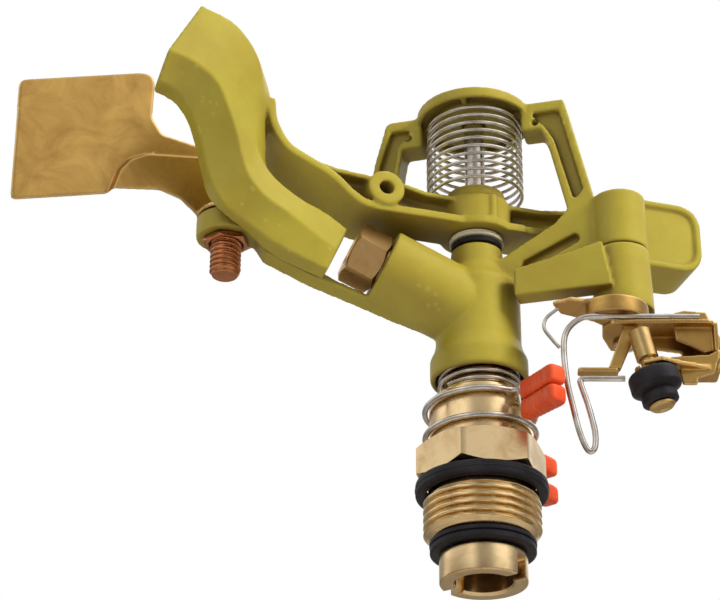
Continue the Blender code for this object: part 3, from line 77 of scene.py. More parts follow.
along, across = headings(layout["bridgeTurn"])
tripU, tripV = headings(layout["tripTurn"])
barLine = headings(layout["eyeTurn"])[0]
tripAxis = along * layout["tripReach"]
eye = barLine * -layout["eyeReach"]
jetAngle = math.radians(layout["jetRise"])
jet = Vector((-math.cos(jetAngle), 0.0, math.sin(jetAngle)))
jetStart = up * layout["jetHeight"]


# Helpers that draw, join and cut shapes

def putIn(name, data):
    item = bpy.data.objects.new(name, data)
    bpy.context.scene.collection.objects.link(item)
    return item


def fromWork(name, work):
    mesh = bpy.data.meshes.new(name)
    work.to_mesh(mesh)
    work.free()
    return putIn(name, mesh)


def weld(item):
    # joins the double points that a curve leaves and turns all faces outwards
    work = bmesh.new()
    work.from_mesh(item.data)
    bmesh.ops.remove_doubles(work, verts=work.verts, dist=0.001)
    bmesh.ops.recalc_face_normals(work, faces=work.faces)
    work.to_mesh(item.data)
    work.free()
    return item


def settle(item):
    # the object as its modifiers leave it, with its place written into the mesh
    bpy.context.view_layer.update()
    seen = item.evaluated_get(bpy.context.evaluated_depsgraph_get())
    mesh = bpy.data.meshes.new_from_object(seen)
    mesh.transform(item.matrix_world)
    name = item.name
    bpy.data.objects.remove(item, do_unlink=True)
    mesh.name = name
    return putIn(name, mesh)


def modify(item, kind, **settings):
    change = item.modifiers.new(kind.lower(), kind)
    for key, value in settings.items():
        setattr(change, key, value)


def combine(item, tools, operation, solver):
    for tool in tools:
        modify(item, "BOOLEAN", operation=operation, solver=solver, object=tool)
    whole = settle(item)
    for tool in tools:
        bpy.data.objects.remove(tool, do_unlink=True)
    return whole


def addTo(item, *tools):
    return combine(item, tools, "UNION", "MANIFOLD")


def cutFrom(item, *tools, solver="MANIFOLD"):
    return combine(item, tools, "DIFFERENCE", solver)


def castSkin(item, voxel, rounds):
    # one even skin with the soft edges of a casting or a pressed sheet
    modify(item, "REMESH", mode="VOXEL", voxel_size=voxel, use_smooth_shade=True)
    modify(item, "SMOOTH", factor=0.5, iterations=rounds)
    return settle(item)


def eased(value):
    # kept between 0 and 1, with soft ends
    share = min(max(value, 0.0), 1.0)
    return share * share * (3.0 - 2.0 * share)


def lathe(name, rows, steps=96, ring=False, place=None):
    # a row is (radius, height), or a function of the angle that gives them
    work = bmesh.new()
    rings = []
    for row in rows:
        points = []
        for step in range(steps):
            angle = math.tau * step / steps
            radius, height = row(angle) if callable(row) else row
            points.append(work.verts.new((radius * math.cos(angle), radius * math.sin(angle), height)))
        rings.append(points)
    pairs = list(zip(rings, rings[1:]))
    if ring:
        pairs.append((rings[-1], rings[0]))
    for upper, lower in pairs:
        for step in range(steps):
            after = (step + 1) % steps
            work.faces.new((upper[step], lower[step], lower[after], upper[after]))
    bmesh.ops.remove_doubles(work, verts=work.verts, dist=0.0005)
    bmesh.ops.recalc_face_normals(work, faces=work.faces)
    if place is not None:
        bmesh.ops.transform(work, matrix=place, verts=work.verts)
    return fromWork(name, work)


def rounded(points, radii, steps=5):
    # outline whose corners are arcs; a radius of 0 leaves a corner sharp
    outline = []
    for index, point in enumerate(points):
        corner = Vector(point)
        radius = radii[index] if isinstance(radii, (list, tuple)) else radii
        before = Vector(points[index - 1]) - corner
        after = Vector(points[(index + 1) % len(points)]) - corner
        if radius <= 0.0:
            outline.append(tuple(corner))
            continue
        half = before.angle(after) / 2.0
        reach = min(radius / math.tan(half), before.length * 0.49, after.length * 0.49)
        first = corner + before.normalized() * reach
        last = corner + after.normalized() * reach
        for step in range(steps + 1):
            share = step / steps
            outline.append(tuple(first.lerp(corner, share).lerp(corner.lerp(last, share), share)))
    return outline


def washer(name, inner, outer, top, low, radius, steps):
    profile = rounded([(inner, top), (outer, top), (outer, low), (inner, low)], radius)
    return lathe(name, profile, steps, ring=True)


def rod(name, radius, start, end, sides=64, endRadius=None):
    start = Vector(start)
    run = Vector(end) - start
    work = bmesh.new()
    bmesh.ops.create_cone(work, cap_ends=True, segments=sides, radius1=radius,
                          radius2=radius if endRadius is None else endRadius, depth=run.length)
    turn = run.to_track_quat("Z", "Y").to_matrix().to_4x4()
    bmesh.ops.transform(work, matrix=Matrix.Translation(start + run / 2.0) @ turn, verts=work.verts)
    return fromWork(name, work)


def pillar(name, radius, low, high, place=origin, sides=64, topRadius=None):
    return rod(name, radius, place + up * low, place + up * high, sides, topRadius)


def block(name, low, high, place):
    low = Vector(low)
    high = Vector(high)
    work = bmesh.new()
    bmesh.ops.create_cube(work, size=1.0)
    bmesh.ops.scale(work, vec=high - low, verts=work.verts)
    bmesh.ops.translate(work, vec=(low + high) / 2.0, verts=work.verts)
    bmesh.ops.transform(work, matrix=place, verts=work.verts)
    return fromWork(name, work)


def flatFrame(first, second, place):
    # a plane to draw in: its two directions, and where its origin lies
    first = Vector(first).normalized()
    second = Vector(second).normalized()
    turn = Matrix((first, second, first.cross(second))).transposed().to_4x4()
    return Matrix.Translation(place) @ turn


def sideFrame(place=origin):
    return flatFrame((1, 0, 0), (0, 0, 1), place)


def bridgeFrame(off, place=origin):
    return flatFrame(along, up, place + across * off)


def addSpline(curve, points, closed):
    spline = curve.splines.new("POLY")
    spline.points.add(len(points) - 1)
    for point, place in zip(spline.points, points):
        point.co = (*place, 1.0)
    spline.use_cyclic_u = closed


def prism(name, outlines, thickness, place):
    # the first outline, with the others as holes, drawn in the plane of place
    curve = bpy.data.curves.new(name, "CURVE")
    curve.dimensions = "2D"
    curve.fill_mode = "BOTH"
    curve.extrude = thickness / 2.0
    for outline in outlines:
        addSpline(curve, [(first, second, 0.0) for first, second in outline], True)
    drawn = putIn(name, curve)
    drawn.matrix_world = place
    return weld(settle(drawn))


def thicken(path, thickness):
    # outline of a sheet that follows a path, on its left side
    path = [Vector(point) for point in path]
    moved = []
    for index, point in enumerate(path):
        run = (path[min(index + 1, len(path) - 1)] - path[max(index - 1, 0)]).normalized()
        moved.append(point + Vector((-run.y, run.x)) * thickness)
    return [tuple(point) for point in path + list(reversed(moved))]


def smoothPath(points, perSpan=8):
    # curve through all the points, with a few more on each span
    points = [Vector(point) for point in points]
    padded = [points[0] * 2.0 - points[1]] + points + [points[-1] * 2.0 - points[-2]]
    path = []
    for index in range(1, len(padded) - 2):
        before, start, end, after = padded[index - 1:index + 3]
        for step in range(perSpan):
            t = step / perSpan
            path.append(0.5 * ((2.0 * start) + (end - before) * t
                               + (2.0 * before - 5.0 * start + 4.0 * end - after) * t * t
                               + (3.0 * start - before - 3.0 * end + after) * t * t * t))
    path.append(points[-1])
    return path


def wire(name, points, radius, roundness=5):
    curve = bpy.data.curves.new(name, "CURVE")
    curve.dimensions = "3D"
    curve.bevel_depth = radius
    curve.bevel_resolution = roundness
    curve.use_fill_caps = True
    addSpline(curve, points, False)
    return weld(settle(putIn(name, curve)))


def helix(mean, low, high, turns, start, perTurn=48):
    count = int(turns * perTurn)
    path = []
    for step in range(count + 1):
        share = step / count
        angle = math.radians(start) + math.tau * turns * share
        path.append(Vector((mean * math.cos(angle), mean * math.sin(angle), low + (high - low) * share)))
    return path


def loft(name, rings):
    # closed body through rings that have the same number of points
    work = bmesh.new()
    rows = [[work.verts.new(point) for point in points] for points in rings]
    count = len(rings[0])
    for upper, lower in zip(rows, rows[1:]):
        for index in range(count):
            after = (index + 1) % count
            work.faces.new((upper[index], upper[after], lower[after], lower[index]))
    work.faces.new(rows[0])
    work.faces.new(list(reversed(rows[-1])))
    bmesh.ops.recalc_face_normals(work, faces=work.faces)
    return fromWork(name, work)


def hexRadius(angle, flats, corner):
    # distance to a hexagon's side; corner is the angle of one of its corners
    part = (math.degrees(angle) - corner) % 60.0 - 30.0
    return flats / 2.0 / math.cos(math.radians(part))


def hexRows(flats, top, low, face, slope, corner):
    # four rows of a chamfered hexagon: its upper face, the arcs below it, and the same at its foot
    def reach(angle):
        return hexRadius(angle, flats, corner)

    return [(face, top), lambda angle: (reach(angle), top - (reach(angle) - face) * slope),
            lambda angle: (reach(angle), low + (reach(angle) - face) * slope), (face, low)]


def screwRows(root, depth, pitch, top, low, fade, spacing):
    # rows of a screw thread whose ridge dies out at both ends
    shape = {"valley": 0.16, "flank": 0.64}    # shares of the pitch; the rest is the crest
    count = int((top - low) / spacing)

    def row(height):
        def at(angle):
            phase = (height / pitch + angle / math.tau) % 1.0
            ridge = eased((1.0 - abs(2.0 * phase - 1.0) - shape["valley"]) / shape["flank"])
            ends = min((top - height) / fade, (height - low) / fade, 1.0)
            return root + depth * ridge * max(ends, 0.0), height
        return at

    return [row(top - (top - low) * index / count) for index in range(count + 1)]


def dress(item, finish, body, node, angle=32.0):
    # makes it metres, gives it its finish and hangs it on its body
    item.data.transform(Matrix.Scale(mm, 4))
    item.data.materials.clear()
    item.data.materials.append(finish)
    item.data.shade_smooth()
    item.data.set_sharp_from_angle(angle=math.radians(angle))
    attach(item, body)
    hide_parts(node)


# Helpers that build a finish from nodes

def setOwn(finish, socketName, value):
    finish.node_tree.nodes["Principled BSDF"].inputs[socketName].default_value = value


def newFinish(name, roughness, metallic=0.0):
    finish = bpy.data.materials.new(name)
    finish.use_nodes = True
    setOwn(finish, "Roughness", roughness)
    setOwn(finish, "Metallic", metallic)
    return finish


def addNode(finish, kind, sockets=None, **settings):
    node = finish.node_tree.nodes.new(kind)
    for key, value in settings.items():
        setattr(node, key, value)
    for key, value in (sockets or {}).items():
        if isinstance(value, bpy.types.NodeSocket):
            finish.node_tree.links.new(value, node.inputs[key])
        else:
            node.inputs[key].default_value = value
    return node


def feed(finish, socketName, value):
    shader = finish.node_tree.nodes["Principled BSDF"]
    finish.node_tree.links.new(value, shader.inputs[socketName])


def place3d(finish, scale=(1.0, 1.0, 1.0), turn=(0.0, 0.0, 0.0), shift=(0.0, 0.0, 0.0)):
    coords = addNode(finish, "ShaderNodeTexCoord").outputs["Object"]
    mapping = addNode(finish, "ShaderNodeMapping", {"Vector": coords, "Location": shift, "Rotation": turn,
                                                    "Scale": scale})
    return mapping.outputs["Vector"]


def grain(finish, vector, scale, detail=3.0, rough=0.55, distort=0.0):
    node = addNode(finish, "ShaderNodeTexNoise", {"Vector": vector, "Scale": scale, "Detail": detail,
                                                  "Roughness": rough, "Distortion": distort})
    return node.outputs["Fac"]


def ramp(finish, value, *stops):
    node = addNode(finish, "ShaderNodeValToRGB", {"Fac": value})
    marks = node.color_ramp.elements
    for spot, colour in stops[1:-1]:
        marks.new(spot)
    for mark, (spot, colour) in zip(marks, stops):
        mark.position = spot
        mark.color = (*colour, 1.0) if isinstance(colour, tuple) else (colour, colour, colour, 1.0)
    return node.outputs["Color"]


def mix(finish, share, first, second):
    # the node's sockets 0, 6 and 7 are the share and the two colours, and output 2 is the colour
    node = addNode(finish, "ShaderNodeMix", data_type="RGBA")
    for index, value in ((0, share), (6, first), (7, second)):
        if isinstance(value, bpy.types.NodeSocket):
            finish.node_tree.links.new(value, node.inputs[index])
        else:
            node.inputs[index].default_value = value if index == 0 else (*value, 1.0)
    return node.outputs[2]


def calc(finish, operation, first, second=0.0):
    return addNode(finish, "ShaderNodeMath", {0: first, 1: second}, operation=operation).outputs["Value"]


def bump(finish, height, distance, strength, normal=None):
    sockets = {"Height": height, "Distance": distance * mm, "Strength": strength}
    if normal is not None:
        sockets["Normal"] = normal
    return addNode(finish, "ShaderNodeBump", sockets).outputs["Normal"]


def edgeShare(finish, low, high):
    # 0 in hollows and 1 on outer edges of a dense mesh
    spot = addNode(finish, "ShaderNodeNewGeometry").outputs["Pointiness"]
    return ramp(finish, spot, (low, 0.0), (high, 1.0))


def aroundAxis(finish, turn=(0.0, 0.0, 0.0), shift=(0.0, 0.0, 0.0)):
    # radius and height about a piece's own axis, for the lines that a lathe leaves
    spot = addNode(finish, "ShaderNodeSeparateXYZ", {"Vector": place3d(finish, turn=turn, shift=shift)})
    x, y, z = spot.outputs["X"], spot.outputs["Y"], spot.outputs["Z"]
    radius = calc(finish, "SQRT", calc(finish, "ADD", calc(finish, "MULTIPLY", x, x),
                                       calc(finish, "MULTIPLY", y, y)))
    angle = calc(finish, "ARCTAN2", y, x)
    return radius, z, angle


# Finishes; the pairs in a ramp say at which value of the pattern a shade stands

def castPaint():
    # deep is a painted shade colour, which the paint takes in recesses and creases
    look = {"main": (0.46, 0.385, 0.045), "warm": (0.39, 0.300, 0.036), "wornAndHighlight": (0.60, 0.51, 0.13),
            "deep": (0.17, 0.110, 0.022), "pocket": 9.0}
    finish = newFinish("olive paint", 0.42)
    spot = place3d(finish)
    cloud = grain(finish, spot, 70.0, 4.0)
    fine = grain(finish, spot, 900.0, 3.0)
    colour = mix(finish, ramp(finish, cloud, (0.38, 0.0), (0.66, 0.8)), look["main"], look["warm"])
    grime = grain(finish, spot, 300.0, 5.0, 0.65)
    colour = mix(finish, calc(finish, "MULTIPLY", ramp(finish, grime, (0.52, 0.0), (0.70, 1.0)), 0.30),
                 colour, look["warm"])
    # lighter on outer edges: worn paint there, and a painted highlight
    colour = mix(finish, calc(finish, "MULTIPLY", edgeShare(finish, 0.53, 0.60), 0.35), colour, look["wornAndHighlight"])
    # painted shade: where ambient occlusion finds surfaces close by, in pockets and under parts, the colour
    # goes towards deep
    hollow = addNode(finish, "ShaderNodeAmbientOcclusion", {"Distance": look["pocket"] * mm}, samples=6)
    paintedShade = ramp(finish, hollow.outputs["AO"], (0.35, 1.0), (0.92, 0.0))
    colour = mix(finish, calc(finish, "MULTIPLY", paintedShade, 0.8), colour, look["deep"])
    # painted shade in creases: where the mesh is hollow, the colour goes towards deep
    colour = mix(finish, calc(finish, "SUBTRACT", 1.0, edgeShare(finish, 0.43, 0.492)), colour, look["deep"])
    feed(finish, "Base Color", colour)
    feed(finish, "Roughness", ramp(finish, fine, (0.3, 0.38), (0.7, 0.52)))
    skin = bump(finish, fine, 0.035, 0.6)
    feed(finish, "Normal", bump(finish, grain(finish, spot, 2600.0, 2.0), 0.012, 0.5, skin))
    return finish


def turnedMetal(name, main, dull, roughness=(0.22, 0.38), turn=(0.0, 0.0, 0.0), shift=(0.0, 0.0, 0.0)):
    look = {"lineScale": 5200.0, "lineDrift": 0.00006, "lineShade": 0.22, "stainScale": 130.0}
    finish = newFinish(name, 0.3, 1.0)
    spot = place3d(finish)
    radius, height, angle = aroundAxis(finish, turn, shift)
    lines = addNode(finish, "ShaderNodeCombineXYZ",
                    {"X": radius, "Y": calc(finish, "MULTIPLY", angle, look["lineDrift"]), "Z": height})
    cuts = grain(finish, lines.outputs["Vector"], look["lineScale"], 2.0, 0.7)
    stain = grain(finish, spot, look["stainScale"], 5.0, 0.6, 0.6)
    colour = mix(finish, ramp(finish, stain, (0.42, 0.0), (0.72, 1.0)), main, dull)
    colour = mix(finish, calc(finish, "MULTIPLY", cuts, look["lineShade"]), colour, dull)
    feed(finish, "Base Color", colour)
    feed(finish, "Roughness", ramp(finish, stain, (0.3, roughness[0]), (0.75, roughness[1])))
    feed(finish, "Normal", bump(finish, cuts, 0.012, 0.7))
    return finish


def sheetBrass():
    look = {"main": (0.62, 0.385, 0.115), "dull": (0.44, 0.25, 0.070), "edge": (0.90, 0.66, 0.32)}
    finish = newFinish("rolled sheet brass", 0.36, 1.0)
    spot = place3d(finish)
    rolled = grain(finish, place3d(finish, scale=(0.06, 1.0, 1.0)), 4200.0, 2.0, 0.65)
    cloud = grain(finish, spot, 95.0, 5.0, 0.62, 0.8)
    colour = mix(finish, ramp(finish, cloud, (0.36, 0.0), (0.68, 1.0)), look["main"], look["dull"])
    # painted highlight: outer edges and the fold's ridge are made brighter towards edge
    colour = mix(finish, calc(finish, "MULTIPLY", edgeShare(finish, 0.51, 0.56), 0.8), colour, look["edge"])
    feed(finish, "Base Color", colour)
    feed(finish, "Roughness", ramp(finish, cloud, (0.3, 0.30), (0.7, 0.45)))
    feed(finish, "Normal", bump(finish, rolled, 0.010, 0.6))
    return finish


def drawnSteel():
    finish = newFinish("drawn steel wire", 0.2, 1.0)
    spot = place3d(finish)
    cloud = grain(finish, spot, 260.0, 4.0)
    colour = mix(finish, ramp(finish, cloud, (0.4, 0.0), (0.7, 1.0)), (0.78, 0.75, 0.71), (0.50, 0.45, 0.39))
    feed(finish, "Base Color", colour)
    feed(finish, "Roughness", ramp(finish, cloud, (0.3, 0.16), (0.75, 0.34)))
    feed(finish, "Normal", bump(finish, grain(finish, spot, 5200.0, 2.0), 0.006, 0.6))
    return finish


def blackRubber():
    finish = newFinish("black rubber", 0.5)
    spot = place3d(finish)
    cloud = grain(finish, spot, 160.0, 5.0, 0.65)
    fine = grain(finish, spot, 2400.0, 3.0)
    colour = mix(finish, ramp(finish, cloud, (0.45, 0.0), (0.75, 1.0)), (0.009, 0.008, 0.011),
                 (0.028, 0.025, 0.029))
    feed(finish, "Base Color", colour)
    feed(finish, "Roughness", ramp(finish, fine, (0.3, 0.40), (0.7, 0.62)))
    feed(finish, "Normal", bump(finish, fine, 0.02, 0.6))
    setOwn(finish, "Specular IOR Level", 0.3)
    return finish


def mouldedPlastic(name, main, shade, roughness, clarity=0.0):
    finish = newFinish(name, roughness)
    spot = place3d(finish)
    cloud = grain(finish, spot, 180.0, 3.0)
    fine = grain(finish, spot, 3200.0, 2.0)
    feed(finish, "Base Color", mix(finish, ramp(finish, cloud, (0.35, 0.0), (0.7, 1.0)), main, shade))
    feed(finish, "Roughness", ramp(finish, cloud, (0.3, roughness - 0.06), (0.7, roughness + 0.10)))
    feed(finish, "Normal", bump(finish, fine, 0.012, 0.5))
    setOwn(finish, "Subsurface Weight", clarity)
    setOwn(finish, "Subsurface Radius", (0.002, 0.0006, 0.0004))
    return finish


paint = castPaint()
nippleBrass = turnedMetal("turned brass", (0.84, 0.64, 0.36), (0.62, 0.42, 0.20), roughness=(0.18, 0.32))
sheet = sheetBrass()
copper = turnedMetal("coppered screw", (0.62, 0.27, 0.12), (0.42, 0.16, 0.07),
                     shift=(-eye.x * mm, -eye.y * mm, 0.0))
steel = drawnSteel()
rubber = blackRubber()
palePlastic = mouldedPlastic("off-white washer", (0.66, 0.61, 0.46), (0.58, 0.53, 0.40), 0.42)
redPlastic = mouldedPlastic("red moulding", (0.88, 0.115, 0.026), (0.80, 0.075, 0.018), 0.34, 0.15)
print("finishes made")


# Inlet, which stays still, and the tube that turns in it

def makeNipple():
    size = {"threadRoot": 12.1, "threadDepth": 1.1, "pitch": 1.814, "threadTop": -4.0, "threadEnd": -13.07,
            "foot": -14.07, "flats": 26.0, "hexTop": 8.5, "hexFace": 12.72, "slope": 0.52, "hexCorner": 53.0,
            "stem": 11.6, "stemTop": 19.5, "neck": 9.6, "top": 21.0, "bore": 8.3, "edge": 0.35,
            "threadFade": 0.9, "threadStep": 0.09}
    edge = size["edge"]
    rows = [(size["bore"], size["top"]), (size["neck"] - edge, size["top"]),
            (size["neck"] - 0.1, size["top"] - 0.1), (size["neck"], size["top"] - edge),
            (size["neck"], size["stemTop"]), (size["stem"] - edge, size["stemTop"]),
            (size["stem"] - 0.1, size["stemTop"] - 0.1), (size["stem"], size["stemTop"] - edge),
            (size["stem"], size["hexTop"] + 0.25), (size["stem"] + 0.25, size["hexTop"])]
    rows += hexRows(size["flats"], size["hexTop"], 0.0, size["hexFace"], size["slope"], size["hexCorner"])
    rows += [(size["threadRoot"] - 0.1, 0.0), (size["threadRoot"] - 0.1, size["threadTop"])]
    rows += screwRows(size["threadRoot"] - 0.1, size["threadDepth"] + 0.1, size["pitch"], size["threadTop"],
                      size["threadEnd"] - 0.45, size["threadFade"], size["threadStep"])
    rows += [(size["threadRoot"] - 0.3, size["foot"] + 0.4), (size["threadRoot"] - 0.8, size["foot"]),
             (size["bore"] + 0.3, size["foot"]), (size["bore"], size["foot"] + 0.3)]
    nipple = lathe("inletNipple", rows, 144, ring=True)
    dress(nipple, nippleBrass, "base", "inlet_nipple")

    seal = {"inner": 12.7, "outer": 14.9, "top": -0.3, "low": -3.5}
    middle = (seal["top"] + seal["low"]) / 2.0
    profile = rounded([(seal["inner"], seal["top"]), (seal["outer"], seal["top"]),
                       (seal["outer"], middle + 0.16), (seal["outer"] + 0.14, middle),
                       (seal["outer"], middle - 0.16), (seal["outer"], seal["low"]),
                       (seal["inner"], seal["low"])], [0.3, 1.0, 0.05, 0.05, 0.05, 1.0, 0.3])
    dress(lathe("inletGasket", profile, 120, ring=True), rubber, "base", "inlet_gasket")


def makeTube():
    size = {"radius": 8.0, "bore": 6.4, "top": 33.0, "collar": 9.8, "collarTop": -17.57, "foot": -24.07,
            "notchWidth": 3.2, "notchTop": -19.57, "notchTurn": -52.0}
    profile = rounded([(size["bore"], size["top"]), (size["radius"], size["top"]),
                       (size["radius"], size["collarTop"]), (size["collar"], size["collarTop"]),
                       (size["collar"], size["foot"]), (size["bore"] + 0.5, size["foot"]),
                       (size["bore"], size["foot"] + 0.6)], [0.3, 0.4, 0.1, 0.4, 0.5, 0.2, 0.2])
    tube = lathe("turningTube", profile, 128, ring=True)
    half = size["notchWidth"] / 2.0
    low = size["foot"] - 1.0
    top = size["notchTop"]
    notch = rounded([(-half, low), (half, low), (half, top), (-half, top)], [0.0, 0.0, 0.9, 0.9])
    turn = Matrix.Rotation(math.radians(size["notchTurn"]), 4, "Z")
    mouth = prism("tubeNotch", [notch], 24.0, turn @ flatFrame((0, 1, 0), (0, 0, 1), origin))
    tube = cutFrom(tube, mouth)
    modify(tube, "BEVEL", width=0.16, segments=2, limit_method="ANGLE", angle_limit=math.radians(50.0))
    dress(settle(tube), nippleBrass, "turret", "turning_tube")

    ring = {"inner": 8.3, "outer": 11.9, "top": -14.37, "low": -17.27, "groove": -15.55}
    profile = rounded([(ring["inner"], ring["top"]), (ring["outer"], ring["top"]),
                       (ring["outer"], ring["groove"] + 0.2), (ring["outer"] - 0.55, ring["groove"]),
                       (ring["outer"] - 0.1, ring["groove"] - 0.3),
                       (ring["outer"] - 0.1, ring["low"] + 0.2), (ring["outer"] - 0.6, ring["low"]),
                       (ring["inner"], ring["low"])], [0.2, 0.4, 0.12, 0.12, 0.12, 0.3, 0.3, 0.2])
    dress(lathe("sealWasher", profile, 120, ring=True), rubber, "turret", "seal_washer")

    coil = {"mean": 9.1, "wire": 0.5, "low": 21.85, "high": 29.55, "turns": 4, "start": 200.0}
    path = helix(coil["mean"], coil["low"], coil["high"], coil["turns"], coil["start"])
    dress(wire("pressureSpring", path, coil["wire"]), steel, "turret", "pressure_spring")


makeNipple()
makeTube()
print("inlet and tube made")


# Head casting: barrel, bar with its eye, bridge, cap and trip boss in one

head = {"skirt": 11.3, "skirtLow": 24.8, "skirtTop": 30.4, "skirtBore": 10.05, "waist": 9.9,
        "waistTop": 48.6, "neck": 6.1, "neckLow": 54.0, "barrel": 9.2, "barrelLength": 25.4,
        "barrelBore": 5.2, "waterway": 6.4, "tubeSpace": 8.3, "tubeSpaceTop": 33.3, "barWidth": 5.6,
        "barDepth": 2.5, "eyeRadius": 7.0, "eyeLow": 56.0, "bridgeThick": 7.0, "cap": 13.8, "capWall": 1.1,
        "capLip": 94.2, "capWeb": 96.1, "capBoss": 9.8, "capRibDrop": 1.7, "capRibWidth": 1.4, "boss": 6.2,
        "bossLow": 54.2, "bossTop": 68.3, "pinSpace": 2.7, "pinFoot": 51.2, "tripPinSpace": 1.9,
        "pocketDeep": 2.2, "eyeBore": 3.9, "cornerHoles": ((-15.6, 91.4), (15.6, 91.0)),
        "cornerRadius": 0.9, "cornerDepth": 3.0, "skin": (0.4, 6)}


def jetPoint(distance):
    return jetStart + jet * distance


def bridgeOutlines():
    foot = layout["headTop"]
    top = layout["bridgeTop"]
    cap = head["cap"]
    under = head["capLip"] + 0.9
    reach = layout["tripReach"] - head["boss"]
    low = head["bossLow"]
    high = head["bossTop"]
    outer = [(-8.0, foot - 16.0), (-20.5, foot - 3.5), (-cap - 11.6, foot + 5.0), (-cap - 11.4, top - 21.0),
             (-cap - 10.3, top - 12.0), (-cap - 7.2, top - 0.6), (1.0 - cap, top - 0.4),
             (cap - 1.0, top - 0.4), (cap + 8.9, top - 0.4), (reach + 0.8, high + 1.3),
             (reach + 1.6, low + 0.8), (reach - 1.8, low + 0.4), (7.0, foot - 13.5)]
    inner = [(-6.5, foot - 5.0), (-15.0, foot + 2.0), (-cap - 5.5, foot + 8.0), (-cap - 4.9, top - 20.0),
             (-cap - 3.9, top - 12.5), (-cap - 3.2, top - 8.3), (1.7 - cap, top - 8.3), (1.7 - cap, under),
             (cap - 1.7, under), (cap - 1.7, top - 8.1), (cap + 3.2, top - 8.1), (cap + 4.6, top - 12.0),
             (reach - 5.3, high - 2.3), (reach - 8.3, foot + 3.6), (7.0, foot - 3.8)]
    return rounded(outer, 1.2), rounded(inner, 1.0)


def bridgePockets():
    foot = layout["headTop"]
    top = layout["bridgeTop"]
    cap = head["cap"]
    reach = layout["tripReach"] - head["boss"]
    nozzleLeg = [(-cap - 9.2, foot + 8.0), (-cap - 6.6, foot + 8.0), (-cap - 6.0, top - 19.0),
                 (-cap - 4.4, top - 8.0), (-cap - 1.0, top - 3.3), (-cap - 6.2, top - 3.3),
                 (-cap - 9.0, top - 13.0)]
    tripLeg = [(cap + 0.6, top - 3.3), (cap + 7.6, top - 3.3), (reach - 1.4, foot + 12.0),
               (reach - 3.6, foot + 9.0), (cap + 6.2, top - 11.4), (cap + 4.2, top - 7.6)]
    gusset = [(reach - 3.3, foot + 0.4), (11.5, foot - 5.7), (10.5, foot - 9.2), (reach - 2.6, foot - 1.8)]
    near = bridgeFrame(-head["bridgeThick"] / 2.0)
    return [prism("bridgePocket", [rounded(points, 0.6, 3)], head["pocketDeep"] * 2.0, near)
            for points in (nozzleLeg, tripLeg, gusset)]


def makeHead():
    body = lathe("headCasting", [(0.0, layout["headTop"]), (head["neck"] - 0.5, layout["headTop"]),
                                 (head["neck"], layout["headTop"] - 0.5), (head["neck"], head["neckLow"]),
                                 (head["neck"] + 1.2, head["neckLow"] - 2.4),
                                 (head["waist"], head["waistTop"]), (head["waist"], head["skirtTop"] + 3.4),
                                 (head["waist"] + 0.5, head["skirtTop"] + 1.4),
                                 (head["skirt"], head["skirtTop"] - 0.5),
                                 (head["skirt"], head["skirtLow"] + 0.5),
                                 (head["skirt"] - 0.5, head["skirtLow"]), (0.0, head["skirtLow"])], 128)
    barrel = rod("barrel", head["barrel"], jetPoint(0.0), jetPoint(head["barrelLength"]), 96)
    root = layout["jetHeight"]
    far = -layout["eyeReach"]
    low = head["eyeLow"]
    deep = head["barDepth"]
    line = [(-12.0, root - 4.3), (-20.0, root - 1.8), (-27.0, root + 0.9), (-40.0, root + 5.6),
            (far + 9.0, low - 3.8), (far + 6.3, low + 0.4), (far, low + 0.8), (far, low + 3.4),
            (far + 10.2, low + 0.2), (-40.0, root + 5.6 + deep), (-34.0, root + 5.0), (-27.0, root + 2.2),
            (-12.0, root - 1.6)]
    bar = prism("bar", [line], head["barWidth"], flatFrame(barLine, up, origin))
    ring = pillar("eyeRing", head["eyeRadius"], low, layout["eyeTop"], eye)
    bridge = prism("bridge", list(bridgeOutlines()), head["bridgeThick"], bridgeFrame(0.0))
    cap = pillar("cap", head["cap"], head["capLip"], layout["bridgeTop"], sides=128)
    boss = pillar("tripBoss", head["boss"], head["bossLow"], head["bossTop"], tripAxis)
    body = addTo(body, barrel, bar, ring, bridge, cap, boss)

    inside = head["cap"] - head["capWall"]
    below = head["capLip"] - 0.3
    recess = lathe("capRecess", [(head["capBoss"], head["capWeb"]), (inside, head["capWeb"]), (inside, below),
                                 (head["capBoss"], below)], 128, ring=True)
    for turn in range(4):
        half = head["capRibWidth"] / 2.0
        rib = block("capRib", (head["capBoss"] - 0.5, -half, head["capWeb"] - head["capRibDrop"]),
                    (inside + 0.4, half, head["capWeb"] + 0.3),
                    Matrix.Rotation(math.radians(layout["bridgeTurn"] + 90.0 * turn), 4, "Z"))
        recess = cutFrom(recess, rib)
    well = lathe("skirtWell", [(0.0, layout["jetHeight"]), (head["waterway"], layout["jetHeight"]),
                               (head["waterway"], head["tubeSpaceTop"]),
                               (head["tubeSpace"], head["tubeSpaceTop"]),
                               (head["tubeSpace"], head["skirtTop"]), (head["skirtBore"], head["skirtTop"]),
                               (head["skirtBore"], head["skirtLow"] - 0.3), (0.0, head["skirtLow"] - 0.3)],
                 96)
    bore = rod("jetBore", head["barrelBore"], jetPoint(0.0), jetPoint(head["barrelLength"] + 0.3))
    pinBore = pillar("pinBore", head["pinSpace"], head["pinFoot"], layout["bridgeTop"] + 0.3)
    tripBore = pillar("tripBore", head["tripPinSpace"], head["bossLow"] - 0.3, head["bossTop"] + 0.3,
                      tripAxis)
    eyeBore = pillar("eyeBore", head["eyeBore"], low - 0.3, layout["eyeTop"] + 0.3, eye)
    corners = []
    bottom = bridgeFrame(head["cornerDepth"] - head["bridgeThick"] / 2.0)
    for spot, height in head["cornerHoles"]:
        hole = pillar("cornerHole", head["cornerRadius"], 0.0, head["cornerDepth"] * 2.0, sides=24)
        hole.data.transform(bottom @ Matrix.Translation((spot, height, 0.0)))
        corners.append(hole)
    body = cutFrom(body, recess, well, bore, pinBore, tripBore, eyeBore, *bridgePockets(), *corners)
    dress(castSkin(body, *head["skin"]), paint, "turret", "head_casting", castAngle)


makeHead()
print("head casting made")


# Impact arm and its spring

